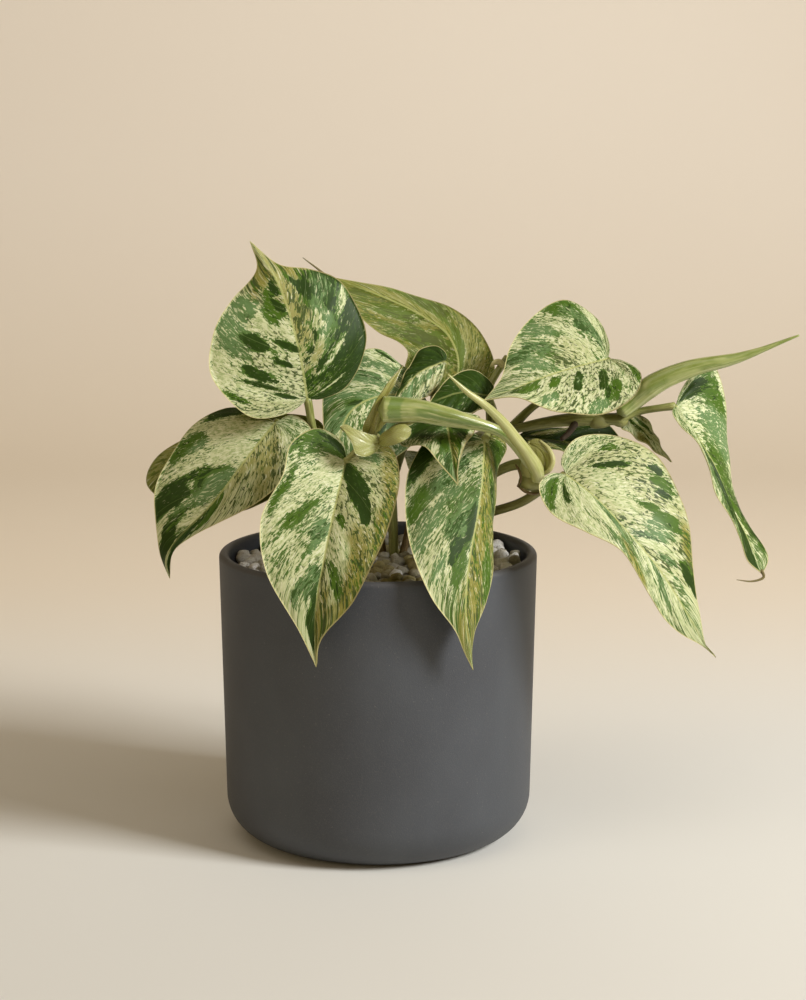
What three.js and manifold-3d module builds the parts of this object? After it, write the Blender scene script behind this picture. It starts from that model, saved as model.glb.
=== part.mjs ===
// A marbled heartleaf house plant in its charcoal pot: pot, soil, pumice gravel, three vines
// with their petioles, the heart-shaped blades, and the young leaves that are still rolled.
// Millimetres, +Z up, origin at the middle of the pot's underside, -Y towards the front.
import * as THREE from 'three';
import { mergeVertices } from 'three/addons/utils/BufferGeometryUtils.js';
import Module from 'manifold-3d';

const wasm = await Module();
wasm.setup();

// Pot
const POT_HEIGHT = 118;
const POT_RIM_RADIUS = 65;
const POT_LOW_RADIUS = 63;
const POT_CORNER = 17;
const POT_WALL = 4;
const POT_FLOOR = 6;
const POT_TAPER = 2;
const POT_INNER_CORNER = 10;
const POT_FACETS = 44;

// Filling
const SOIL_TOP = 101;
const GRAVEL_TOP = 107.5;
const PEBBLE_COUNT = 76;
const PEBBLE_RADIUS = 5.2;
const PEBBLE_MARGIN = 1.6;
const GRAVEL_HEAP = 1.6;
const FILLING_FACETS = 26;

// Clearance between pieces that touch on the real thing
const GAP = 0.3;

// Blades
const BLADE_THICKNESS = 0.8;
const BLADE_ROW_LENGTH = 6;
const FEWEST_ROWS = 8;
const MOST_ROWS = 14;
const BLADE_COLUMNS = 3;
const LOBE_SHARE = 0.3;
const VEIN_LAG = 1.25;
const BLADE_CROWN = 0.05;
const MARGIN_WAVE = 0.7;
const MARGIN_WAVES = 3.5;
const THREAD_RADII = [0.9, 0.8, 0.6, 0.35];
const NORMAL_ROUNDS = 4;

// Stems
const STEM_SIDES = 7;
const PETIOLE_SIDES = 5;
const PETIOLE_RADIUS = 1.6;
const STEM_STEP = 9;
const PETIOLE_STEP = 12;
const BUD_STEP = 6;

// Each blade is a midrib from its base to its tip, and the two margins on the way from the
// base, back round the lobes and forward to the tip. The left half is on the left when the
// upper face is seen with the tip pointing up. Points were judged by eye, in whole millimetres.
// A thread is the long drawn-out tip of a blade.
const LEAVES = {
  leaf_upper_left: {
    rib: [[-28, -14, 182], [-31, -16, 202], [-39, -10, 227], [-51, -2, 244]],
    left: [
      [-35, -18, 177], [-50, -22, 176], [-66, -17, 192],
      [-65, -12, 208], [-58, -8, 221], [-48, -5, 233],
    ],
    right: [
      [-22, -14, 182], [-12, -12, 187], [-4.5, -6, 206],
      [-14, -4, 227], [-27, -4, 233], [-40, -4, 235],
    ],
  },
  leaf_top_back: {
    rib: [[30, 14, 180], [33, 20, 192], [29, 24, 203], [17, 24, 212], [1, 19, 220], [-20, 7, 229]],
    left: [
      [34, 12, 178], [46, 16, 183], [48, 23, 192], [42, 30, 205],
      [30, 32, 214], [10, 26, 221.5], [-9, 15, 226.5],
    ],
    right: [
      [25, 12, 179], [17, 13, 182], [11, 14, 190], [12, 15, 198],
      [0, 14, 206], [-10, 11, 215],
    ],
    thread: [[-17, 9, 227.5], [-20, 7, 229], [-25, 4.5, 233], [-30, 2, 237]],
  },
  leaf_left: {
    rib: [
      [-41, -12, 172], [-51, -20, 160], [-66, -26, 141],
      [-80, -29, 127], [-84, -28, 119], [-83, -24, 111],
    ],
    left: [
      [-34, -10, 175], [-26, -14, 169], [-31, -22, 157],
      [-48, -26, 142], [-74, -28, 128.5], [-81.5, -27, 122],
    ],
    right: [[-48, -6, 175], [-61, -2, 177], [-77, -4, 167], [-89, -12, 146], [-87, -24, 123]],
  },
  leaf_left_behind: {
    rib: [[-22, 6, 163], [-47, 16, 158], [-72, 20, 148], [-87, 16, 133]],
    left: [[-23, 8, 169], [-32, 12, 172], [-62, 22, 168], [-92, 26, 153], [-97, 22, 142]],
    right: [[-21, 0, 158], [-27, -2, 151], [-48, 4, 136], [-68, 12, 131]],
  },
  leaf_front_left: {
    rib: [[-12, -42, 161], [-15, -52, 149], [-19, -64, 131], [-23, -70, 108], [-23, -69, 86]],
    left: [[-6, -38, 166], [5, -42, 167], [9, -52, 156], [3, -68, 136], [-8, -75, 114], [-21, -72, 97]],
    right: [
      [-13, -40, 168], [-23, -40, 174], [-33, -46, 169], [-36, -52, 158],
      [-44, -60, 142], [-42, -66, 123], [-29, -71, 100],
    ],
  },
  leaf_front_centre: {
    rib: [[42, -40, 169], [40, -54, 150], [35, -66, 124], [34, -70, 105], [37, -66, 84]],
    left: [
      [46, -36, 171], [51, -30, 165], [48, -28, 156], [46, -36, 143],
      [45, -50, 126], [42, -59, 110], [37, -65, 94],
    ],
    right: [
      [36, -36, 172], [23, -34, 172], [13, -42, 159], [11, -54, 144],
      [14, -66, 129], [24, -72, 111], [33, -70, 92],
    ],
  },
  leaf_centre: {
    rib: [[19, 2, 180], [3, -2, 182], [-11, -10, 176], [-18, -22, 153]],
    left: [[21, -4, 175], [14, -10, 163], [1, -18, 156], [-11, -22, 151]],
    right: [[19, 6, 186], [11, 10, 192], [0, 12, 199], [-12, 8, 196], [-21, 0, 185], [-22, -10, 173]],
  },
  leaf_centre_folded: {
    rib: [[27, 4, 195], [17, 0, 191], [6, -10, 180]],
    left: [[26, 0, 189], [20, -6, 182], [12, -10, 179]],
    right: [[28, 6, 197], [24, 8, 201], [17, 8, 199], [11, 2, 190]],
  },
  leaf_centre_dark: {
    rib: [[44, -4, 182], [34, -10, 184], [20, -22, 181]],
    left: [[44, -10, 179], [37, -16, 176], [28, -22, 177]],
    right: [[47, 0, 185], [42, 5, 190], [34, 3, 191], [26, -8, 187]],
  },
  leaf_small_pointed: {
    rib: [[27, -27, 176], [28, -40, 171], [31, -60, 155]],
    left: [[32, -24, 178], [40, -26, 177], [38, -38, 173], [32, -52, 164]],
    right: [[22, -24, 177], [11, -26, 175], [9, -38, 168], [19, -46, 167], [26, -54, 160]],
  },
  leaf_upper_right: {
    rib: [[94, 12, 195], [82, 4, 193], [67, -8, 190], [53, -19, 186], [42, -26, 183]],
    left: [[99, 8, 195], [106, -2, 191], [102, -14, 182], [88, -22, 177], [72, -26, 178], [56, -27, 184]],
    right: [[95, 16, 200], [90, 28, 211], [78, 34, 217], [64, 28, 211], [54, 10, 200], [49, -10, 189]],
  },
  leaf_lower_right: {
    rib: [
      [74, -36, 155], [84, -44, 148], [95, -50, 137], [108, -50, 122],
      [121, -45, 102], [129, -40, 88], [134, -38, 82],
    ],
    left: [
      [72, -34, 160], [78, -28, 168], [93, -24, 169], [110, -26, 161],
      [121, -32, 142], [124, -37, 121], [127, -40, 100], [129.5, -40, 88],
    ],
    right: [
      [68, -38, 156], [63, -42, 152], [67, -50, 143], [80, -57, 136],
      [95, -60, 129], [105, -56, 111], [117, -46, 95], [128.5, -40, 87],
    ],
  },
  leaf_far_right: {
    rib: [
      [120, -6, 178], [131, -12, 162], [137, -14, 151], [143, -12, 137],
      [150, -8, 124], [157, -4.5, 108.5],
    ],
    left: [
      [122, -2, 183], [128, 5, 190], [137, 12, 193], [142, 12, 178],
      [144, 8, 158], [144, 2, 145], [152, 0, 128], [159.5, -2, 115],
    ],
    right: [
      [118, -10, 176], [121, -16, 171], [127, -20, 166], [131, -22, 156],
      [135, -20, 146], [140, -18, 136], [147, -13, 124], [150, -9, 115],
    ],
    thread: [[156.5, -5, 110.5], [157.5, -5, 107.5], [153, -6, 106], [146, -8, 107]],
  },
  leaf_narrow_right: {
    rib: [[101, 8, 173], [109, 4, 166], [119, -4, 155]],
    left: [[106, 12, 173], [112, 10, 168], [115, 4, 161]],
    right: [[99, 2, 168], [104, 0, 165], [111, -2, 160]],
  },
  leaf_under_vine: {
    rib: [[57, 8, 163], [71, 12, 161.5], [88, 16, 158], [108, 12, 147]],
    left: [[60, 13, 165], [66, 20, 165.5], [80, 26, 164], [92, 28, 167], [103, 22, 158]],
    right: [[59, 4, 161.5], [67, 2, 160], [78, 2, 157], [95, 5, 150]],
  },
  leaf_back_left: {
    rib: [[-12, 42, 150], [-16, 60, 147], [-21, 74, 130], [-25, 78, 104]],
    left: [[-16, 40, 154], [-30, 44, 156], [-40, 62, 145], [-36, 74, 126]],
    right: [[-8, 40, 153], [4, 46, 154], [4, 64, 144], [-8, 77, 124]],
  },
  leaf_back_right: {
    rib: [[26, 42, 146], [30, 58, 144], [35, 72, 129], [38, 80, 104]],
    left: [[22, 40, 150], [12, 46, 152], [12, 62, 143], [24, 75, 124]],
    right: [[31, 40, 149], [43, 43, 150], [51, 60, 141], [47, 73, 124]],
  },
};

const MATERIALS = {
  charcoal: new THREE.MeshStandardMaterial({ color: 0x4b4b4e, roughness: 0.6, metalness: 0 }),
  soil: new THREE.MeshStandardMaterial({ color: 0x3a2c20, roughness: 1, metalness: 0 }),
  pumice: new THREE.MeshStandardMaterial({ color: 0xd8d4c8, roughness: 0.9, metalness: 0 }),
  stem: new THREE.MeshStandardMaterial({ color: 0x7f8f3c, roughness: 0.5, metalness: 0 }),
  blade: new THREE.MeshStandardMaterial({ color: 0xb4c07a, roughness: 0.45, metalness: 0 }),
  bud: new THREE.MeshStandardMaterial({ color: 0xa9bd68, roughness: 0.4, metalness: 0 }),
};

const plant = new THREE.Group();

function vector(point) {
  return new THREE.Vector3(...point);
}

function smoothCurve(points) {
  return new THREE.CatmullRomCurve3(points.map(vector), false, 'centripetal');
}

// Same draws on every run
function seededRandom(seed) {
  let state = seed;
  return () => {
    state = (state * 1664525 + 1013904223) % 4294967296;
    return state / 4294967296;
  };
}

function solidOf(geometry) {
  const bare = geometry.clone();
  bare.deleteAttribute('normal');
  bare.deleteAttribute('uv');
  const welded = mergeVertices(bare, 1e-4);
  const vertProperties = new Float32Array(welded.attributes.position.array);
  const triVerts = new Uint32Array(welded.index.array);
  return new wasm.Manifold(new wasm.Mesh({ numProp: 3, vertProperties, triVerts }));
}

function geometryOf(solid) {
  const mesh = solid.getMesh();
  const geometry = new THREE.BufferGeometry();
  geometry.setAttribute('position', new THREE.BufferAttribute(mesh.vertProperties, 3));
  geometry.setIndex(new THREE.BufferAttribute(mesh.triVerts, 1));
  return geometry;
}

function fuse(solids) {
  return solids.reduce((whole, next) => whole.add(next));
}

// The largest body that a cut leaves, without the scraps
function withoutScraps(solid) {
  const bodies = solid.decompose();
  return bodies.reduce((best, next) => (next.volume() > best.volume() ? next : best));
}

function addNode(name, geometry, material) {
  const mesh = new THREE.Mesh(geometry, material);
  mesh.name = name;
  plant.add(mesh);
}

// Blade surface

// Where along the midrib the vein starts that ends at this share of the margin
function veinRoot(share) {
  return Math.max(0, (share - LOBE_SHARE) / (1 - LOBE_SHARE)) ** VEIN_LAG;
}

// How far the surface stands above a straight line from the midrib to the margin
function bladeLift(share, out, length) {
  const crown = BLADE_CROWN * length * 4 * out * (1 - out);
  const wave = MARGIN_WAVE * out ** 2 * Math.sin(2 * Math.PI * MARGIN_WAVES * share);
  return (crown + wave) * Math.sin(Math.PI * share);
}

// The middle surface of a blade: points, and triangles that look along the upper face.
// The first vein that leaves the base is itself the edge of the notch between the lobes.
function bladeSurface(leaf, rows, columns) {
  const base = leaf.rib[0];
  const tip = leaf.rib[leaf.rib.length - 1];
  const rib = smoothCurve(leaf.rib);
  const points = [vector(base), vector(tip)];
  const lifts = [];
  const triangles = [];
  const margins = [];
  const ribIndex = [];
  for (let row = 0; row <= rows; row += 1) {
    const root = veinRoot(row / rows);
    if (root === 0) {
      ribIndex.push(0);
    } else if (row === rows) {
      ribIndex.push(1);
    } else {
      points.push(rib.getPointAt(root));
      ribIndex.push(points.length - 1);
    }
  }
  for (const side of ['left', 'right']) {
    const margin = smoothCurve([base, ...leaf[side], tip]);
    const index = [];
    for (let row = 0; row <= rows; row += 1) {
      const ids = [ribIndex[row]];
      const edge = margin.getPointAt(row / rows);
      for (let column = 1; column <= columns; column += 1) {
        if (row === 0) {
          ids.push(0);
        } else if (row === rows) {
          ids.push(1);
        } else {
          const root = points[ids[0]];
          const out = column / columns;
          lifts[points.length] = bladeLift(row / rows, out, root.distanceTo(edge));
          ids.push(points.length);
          points.push(root.clone().lerp(edge, out));
        }
      }
      index.push(ids);
    }
    margins.push([...index[1], ...index.slice(2).map((ids) => ids[columns])]);
    for (let row = 1; row < rows; row += 1) {
      for (let column = 0; column < columns; column += 1) {
        const near = index[row][column];
        const far = index[row + 1][column];
        const farOut = index[row + 1][column + 1];
        const nearOut = index[row][column + 1];
        const pair = [[near, far, farOut], [near, farOut, nearOut]];
        for (const [a, b, c] of pair) {
          if (a !== b && b !== c && a !== c) {
            triangles.push(side === 'left' ? [a, b, c] : [a, c, b]);
          }
        }
      }
    }
  }
  const normals = vertexNormals(points, triangles);
  const lifted = points.map((point, i) => point.clone().addScaledVector(normals[i], lifts[i] ?? 0));
  return { points: lifted, triangles, margins };
}

function vertexNormals(points, triangles) {
  const normals = points.map(() => new THREE.Vector3());
  for (const [a, b, c] of triangles) {
    const first = points[b].clone().sub(points[a]);
    const second = points[c].clone().sub(points[a]);
    const normal = first.cross(second);
    for (const corner of [a, b, c]) {
      normals[corner].add(normal);
    }
  }
  return normals.map((normal) => normal.normalize());
}

// Directions averaged with those of the neighbouring corners, so that they turn gently
function evened(directions, triangles, rounds) {
  let current = directions;
  for (let round = 0; round < rounds; round += 1) {
    const sums = current.map((direction) => direction.clone());
    for (const corners of triangles) {
      for (const corner of corners) {
        for (const other of corners) {
          sums[corner].add(current[other]);
        }
      }
    }
    current = sums.map((sum) => sum.normalize());
  }
  return current;
}

// A closed blade: both faces have the same triangles, joined by a strip round the margin
function bladeSolid(leaf, thickness) {
  const ribLength = smoothCurve(leaf.rib).getLength();
  const wanted = Math.round(ribLength / BLADE_ROW_LENGTH);
  const rows = THREE.MathUtils.clamp(wanted, FEWEST_ROWS, MOST_ROWS);
  const { points, triangles, margins } = bladeSurface(leaf, rows, BLADE_COLUMNS);
  const normals = evened(vertexNormals(points, triangles), triangles, NORMAL_ROUNDS);
  const count = points.length;
  const positions = [];
  for (const lift of [thickness / 2, -thickness / 2]) {
    points.forEach((point, i) => {
      positions.push(...point.clone().addScaledVector(normals[i], lift).toArray());
    });
  }
  const faces = triangles.flatMap(([a, b, c]) => [a, b, c, a + count, c + count, b + count]);
  margins.forEach((edge, side) => {
    for (let i = 0; i + 1 < edge.length; i += 1) {
      const [from, to] = side === 0 ? [edge[i], edge[i + 1]] : [edge[i + 1], edge[i]];
      faces.push(from, to, to + count, from, to + count, from + count);
    }
  });
  const geometry = new THREE.BufferGeometry();
  geometry.setAttribute('position', new THREE.Float32BufferAttribute(positions, 3));
  geometry.setIndex(faces);
  const blade = solidOf(geometry);
  if (!leaf.thread) {
    return blade;
  }
  const spare = (thickness - BLADE_THICKNESS) / 2;
  const radii = THREAD_RADII.map((radius) => radius + spare);
  return withoutScraps(blade.add(stem(leaf.thread, radii, PETIOLE_SIDES, BUD_STEP)));
}

// Stems

function roundSection(radius, sides) {
  const corners = [];
  for (let i = 0; i < sides; i += 1) {
    const angle = (2 * Math.PI * i) / sides;
    corners.push(new THREE.Vector2(radius * Math.cos(angle), radius * Math.sin(angle)));
  }
  return new THREE.Shape(corners);
}

function radiusAt(radii, share) {
  const place = share * (radii.length - 1);
  const index = Math.min(Math.floor(place), radii.length - 2);
  return THREE.MathUtils.lerp(radii[index], radii[index + 1], place - index);
}

// A stem along a smooth path, whose thickness follows a list of radii spread along it.
// A thin pencil is drawn along the path and each of its rings is then widened to its radius.
function stem(points, radii, sides = STEM_SIDES, step = STEM_STEP) {
  const path = smoothCurve(points);
  const steps = Math.max(2, Math.round(path.getLength() / step));
  const pencil = 0.5;
  const section = roundSection(pencil, sides);
  const settings = { steps, bevelEnabled: false, extrudePath: path };
  const geometry = new THREE.ExtrudeGeometry(section, settings);
  const centres = path.getSpacedPoints(steps);
  const corner = new THREE.Vector3();
  const { position } = geometry.attributes;
  for (let i = 0; i < position.count; i += 1) {
    corner.fromBufferAttribute(position, i);
    const distances = centres.map((centre) => centre.distanceTo(corner));
    const ring = distances.indexOf(Math.min(...distances));
    const radius = radiusAt(radii, ring / steps);
    corner.sub(centres[ring]).multiplyScalar(radius / pencil).add(centres[ring]);
    position.setXYZ(i, corner.x, corner.y, corner.z);
  }
  return solidOf(geometry);
}

function petiole(points) {
  const radii = [PETIOLE_RADIUS * 1.25, PETIOLE_RADIUS, PETIOLE_RADIUS];
  return stem(points, radii, PETIOLE_SIDES, PETIOLE_STEP);
}

function knot(centre, radius, stretch = [1, 1, 1]) {
  const ball = new THREE.IcosahedronGeometry(radius, 1);
  ball.scale(...stretch);
  ball.translate(...centre);
  return solidOf(ball);
}

// Pot

function potSolid() {
  const rim = POT_WALL / 2;
  const inner = POT_RIM_RADIUS - POT_WALL;
  const profile = [new THREE.Vector2(0, 0), new THREE.Vector2(POT_LOW_RADIUS - POT_CORNER, 0)];
  for (const degrees of [30, 60, 90]) {
    const angle = THREE.MathUtils.degToRad(degrees);
    const out = POT_LOW_RADIUS - POT_CORNER + POT_CORNER * Math.sin(angle);
    profile.push(new THREE.Vector2(out, POT_CORNER * (1 - Math.cos(angle))));
  }
  for (const degrees of [0, 60, 120, 180]) {
    const angle = THREE.MathUtils.degToRad(degrees);
    const out = POT_RIM_RADIUS - rim + rim * Math.cos(angle);
    profile.push(new THREE.Vector2(out, POT_HEIGHT - rim + rim * Math.sin(angle)));
  }
  profile.push(new THREE.Vector2(inner - POT_TAPER, POT_CORNER));
  profile.push(new THREE.Vector2(inner - POT_INNER_CORNER, POT_FLOOR));
  profile.push(new THREE.Vector2(0, POT_FLOOR));
  const geometry = new THREE.LatheGeometry(profile, POT_FACETS);
  geometry.rotateX(Math.PI / 2);
  return solidOf(geometry);
}

// The radius inside the pot at a height, a little clear of its wall
function innerRadius(height) {
  const wallTop = POT_HEIGHT - POT_WALL / 2;
  const share = (height - POT_CORNER) / (wallTop - POT_CORNER);
  return POT_RIM_RADIUS - POT_WALL - POT_TAPER * (1 - share) - 2 * GAP;
}

// A round plug that fills the pot between two heights
function plug(bottom, top) {
  const profile = [new THREE.Vector2(0, bottom)];
  if (bottom < POT_CORNER) {
    profile.push(new THREE.Vector2(POT_RIM_RADIUS - POT_WALL - POT_INNER_CORNER - 2 * GAP, bottom));
  }
  const start = Math.max(bottom, POT_CORNER);
  profile.push(new THREE.Vector2(innerRadius(start), start));
  profile.push(new THREE.Vector2(innerRadius(top), top));
  profile.push(new THREE.Vector2(0, top));
  const geometry = new THREE.LatheGeometry(profile, FILLING_FACETS);
  geometry.rotateX(Math.PI / 2);
  return solidOf(geometry);
}

function gravelSolid() {
  const random = seededRandom(11);
  const stones = [plug(SOIL_TOP + GAP, GRAVEL_TOP)];
  const reach = POT_RIM_RADIUS - POT_WALL - PEBBLE_RADIUS - PEBBLE_MARGIN;
  const goldenAngle = Math.PI * (3 - Math.sqrt(5));
  for (let i = 0; i < PEBBLE_COUNT; i += 1) {
    const stone = new THREE.IcosahedronGeometry(PEBBLE_RADIUS * (0.8 + 0.35 * random()), 0);
    stone.scale(1, 0.8 + 0.3 * random(), 0.6 + 0.3 * random());
    stone.rotateZ(2 * Math.PI * random());
    const distance = reach * Math.sqrt((i + 0.5) / PEBBLE_COUNT);
    const angle = i * goldenAngle;
    const heap = GRAVEL_HEAP * (1 - (distance / reach) ** 2) * random();
    stone.translate(distance * Math.cos(angle), distance * Math.sin(angle), GRAVEL_TOP + heap);
    stones.push(solidOf(stone));
  }
  return fuse(stones);
}

// Vines

// Everything that grows out of the soil, as lists of tubes, so that holes can be made for them
function vines(extra) {
  const widen = (radii) => radii.map((radius) => radius + extra);
  const thick = (points, radii) => stem(points, widen(radii));
  return {
    vine_left: [
      thick([
        [6, 20, 88], [6, 19, 122], [5, 14, 142],
        [2, 0, 154], [-1, -20, 163], [-1, -33, 168],
      ], [2.3, 2.2, 2.1, 2, 2, 2.2]),
      thick([[6, 20, 100], [10, 21, 112], [13, 20, 127]], [1.8, 1.6, 1.3]),
      thick([[6, 20, 98], [2, 25, 110], [1, 27, 123]], [1.8, 1.6, 1.2]),
    ],
    vine_front: [
      thick([
        [30, 4, 88], [32, -1, 122], [39, -11, 144],
        [47, -19, 153], [54, -24, 157], [60, -29, 158],
      ], [2.1, 1.9, 1.7, 1.7, 1.9, 2.4]),
    ],
    vine_right: [
      thick([
        [17, 14, 88], [17, 13, 120], [22, 9, 148], [36, 3, 162],
        [52, 0, 167], [74, 2, 171], [99, 0, 172],
      ], [2.3, 2.2, 2, 1.9, 1.6, 1.9, 2.8, 2.5]),
    ],
  };
}

const stems = vines(0);
const holes = vines(GAP + 0.15);

stems.vine_left.push(
  petiole([[-2, -32, 167], [-7, -37, 165], [-12, -42, 161]]),
  petiole([[5, 12, 144], [-10, 0, 156], [-24, -8, 165], [-28, -13.5, 182]]),
  petiole([[4, 6, 149], [-16, 2, 160], [-32, -2, 168], [-41, -11, 172]]),
  petiole([[6, 16, 137], [-8, 12, 152], [-21.5, 6, 163]]),
  petiole([[5, 14, 142], [12, 13, 162], [18, 4, 179]]),
  petiole([[6, 18, 128], [-4, 30, 144], [-12, 41, 150]]),
  knot([-1, -33, 168], 3.2),
);
stems.vine_front.push(
  stem([
    [33, -2, 128], [42, -15, 135], [57, -25, 142],
    [66, -31, 149], [73.5, -35.5, 155],
  ], [2.1, 2, 1.9, 1.6]),
  stem([[57, -27, 164], [64, -28, 164], [68.5, -30, 159], [66, -32, 153]], [1.6, 2.2, 2, 1.2]),
  knot([61, -30, 157], 4.6, [0.9, 0.9, 1.1]),
  knot([62, -30, 150.5], 4.6, [1, 0.9, 0.8]),
);
stems.vine_right.push(
  petiole([[19, 12, 136], [26, 20, 160], [30, 15, 179.5]]),
  petiole([[24, 8, 150], [23, 11, 168], [23, 9, 182], [27, 5, 194.5]]),
  petiole([[30, 5, 157], [27, -8, 166], [27, -26, 176]]),
  petiole([[36, 3, 162], [42, -14, 168], [43, -30, 170], [42, -39.5, 169.5]]),
  petiole([[48, 1, 166], [47, -1, 175], [44.5, -3.5, 181.5]]),
  petiole([[54, 1, 168], [64, 10, 176], [81, 21, 184], [92, 17, 191], [94, 12.5, 194.5]]),
  petiole([[44, 2, 165], [50, 6, 163], [56.5, 8, 162]]),
  petiole([[98, 0, 172], [106, 0, 175], [114, -4, 177], [119.5, -6, 178]]),
  petiole([[96, 2, 171], [100, 6, 173]]),
  petiole([[18, 14, 126], [24, 30, 141], [26, 41, 146]]),
  petiole([[46, 2, 167], [45, 8, 181], [51, 14, 190]]),
  stem([[50.5, 13, 189], [50, 14, 194], [45, 12, 196]], [1.3, 1.5, 0.6], PETIOLE_SIDES),
  knot([90, 1, 171], 3.4, [1.5, 1, 1]),
  knot([98, 1, 171.5], 3, [1.3, 1, 1]),
  stem([[80, 0, 170], [77, -5, 167], [74, -9, 165]], [1.5, 1.3, 0.9], PETIOLE_SIDES),
);

// Young leaves

// A leaf still rolled into a tapering tube
function rolledLeaf(points, radii) {
  return stem(points, radii, STEM_SIDES, BUD_STEP);
}

// The young leaves with their sheaths, all a little fatter where they need room in a stem
function buds(extra) {
  const roll = (points, radii) => rolledLeaf(points, radii.map((radius) => radius + extra));
  const tube = [
    [3, -48, 181], [17, -47, 182], [32, -45, 180],
    [48, -42, 175], [56, -38, 168], [60, -33, 161],
  ];
  return {
    leaf_unrolling: fuse([
      roll(tube, [5.4, 5.4, 4.6, 3.4, 2.6, 2.2]),
      roll([[0, -46, 169], [-1, -47, 177], [3, -46, 188], [10, -41, 199]], [1.6, 1.9, 1.7, 0.6]),
      roll([[-1, -36, 171], [-3, -45, 170.5], [-8, -49, 172], [-14, -48, 176]], [1.8, 2.2, 2, 0.7]),
      roll([[0, -46, 169], [6, -52, 173], [12, -52, 177]], [1.6, 3.4, 1.2]),
    ]),
    spear_front: roll(
      [[29, -62, 196], [36, -58, 190], [44, -54, 179], [53, -46, 168], [62, -38, 158]],
      [0.5, 1.4, 2.3, 2.4, 2.4, 2.6],
    ),
    spear_right: roll(
      [[168, -10, 207], [145, -8, 198], [125, -6, 193], [112, -4, 187], [103, -2, 179.5], [98, -3, 175.5]],
      [0.5, 1.2, 2.6, 3.6, 4.4, 3.4],
    ),
  };
}

// Assembly

// What the stems have to stay clear of
const taken = fuse([
  ...Object.values(LEAVES).map((leaf) => bladeSolid(leaf, BLADE_THICKNESS + 2 * GAP)),
  ...Object.values(buds(GAP)),
]);

let filling = gravelSolid();
for (const [name, pieces] of Object.entries(stems)) {
  filling = filling.subtract(fuse(holes[name]));
  const vine = withoutScraps(fuse(pieces).subtract(taken)).asOriginal().simplify(GAP / 10);
  addNode(name, geometryOf(vine), MATERIALS.stem);
}

const soil = plug(POT_FLOOR + GAP, SOIL_TOP).subtract(fuse(Object.values(holes).map(fuse)));
addNode('pot', geometryOf(potSolid()), MATERIALS.charcoal);
addNode('soil', geometryOf(soil), MATERIALS.soil);
addNode('gravel', geometryOf(filling), MATERIALS.pumice);
for (const [name, leaf] of Object.entries(LEAVES)) {
  addNode(name, geometryOf(bladeSolid(leaf, BLADE_THICKNESS)), MATERIALS.blade);
}
for (const [name, solid] of Object.entries(buds(0))) {
  addNode(name, geometryOf(solid), MATERIALS.bud);
}

export default plant;
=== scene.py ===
"""A marbled heartleaf house plant in a charcoal pot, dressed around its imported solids.

Lengths in the tables are millimetres, and MM turns them into the metres of the scene.
"""

import math
import random

import bmesh
import bpy
import numpy as np
from mathutils import Euler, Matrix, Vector, noise


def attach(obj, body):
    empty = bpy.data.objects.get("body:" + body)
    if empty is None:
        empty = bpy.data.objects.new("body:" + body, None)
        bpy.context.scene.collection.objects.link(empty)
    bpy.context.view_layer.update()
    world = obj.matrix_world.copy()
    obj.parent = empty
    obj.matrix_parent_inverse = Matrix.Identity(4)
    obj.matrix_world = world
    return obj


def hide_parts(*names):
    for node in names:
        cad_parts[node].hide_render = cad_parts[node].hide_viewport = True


MM = 0.001

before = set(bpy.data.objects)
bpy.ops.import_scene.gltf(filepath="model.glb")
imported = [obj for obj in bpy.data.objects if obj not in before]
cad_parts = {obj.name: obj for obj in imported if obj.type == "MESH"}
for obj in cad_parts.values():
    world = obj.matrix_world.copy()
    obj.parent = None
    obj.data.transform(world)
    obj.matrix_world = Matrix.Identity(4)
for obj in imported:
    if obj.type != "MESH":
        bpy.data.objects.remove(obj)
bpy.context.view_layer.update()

# The camera stands 0.9 m in front of the pot and looks 10.1 degrees down.
CAMERA_PLACE = (10.2, -900, 298.9)
CAMERA_TILT = 79.9
CAMERA_LENS = 80.64

camera = bpy.data.objects.new("camera", bpy.data.cameras.new("camera"))
bpy.context.scene.collection.objects.link(camera)
camera.location = Vector(CAMERA_PLACE) * MM
camera.rotation_euler = (math.radians(CAMERA_TILT), 0, 0)
camera.data.lens = CAMERA_LENS
camera.data.clip_end = 20
bpy.context.scene.camera = camera

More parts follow.
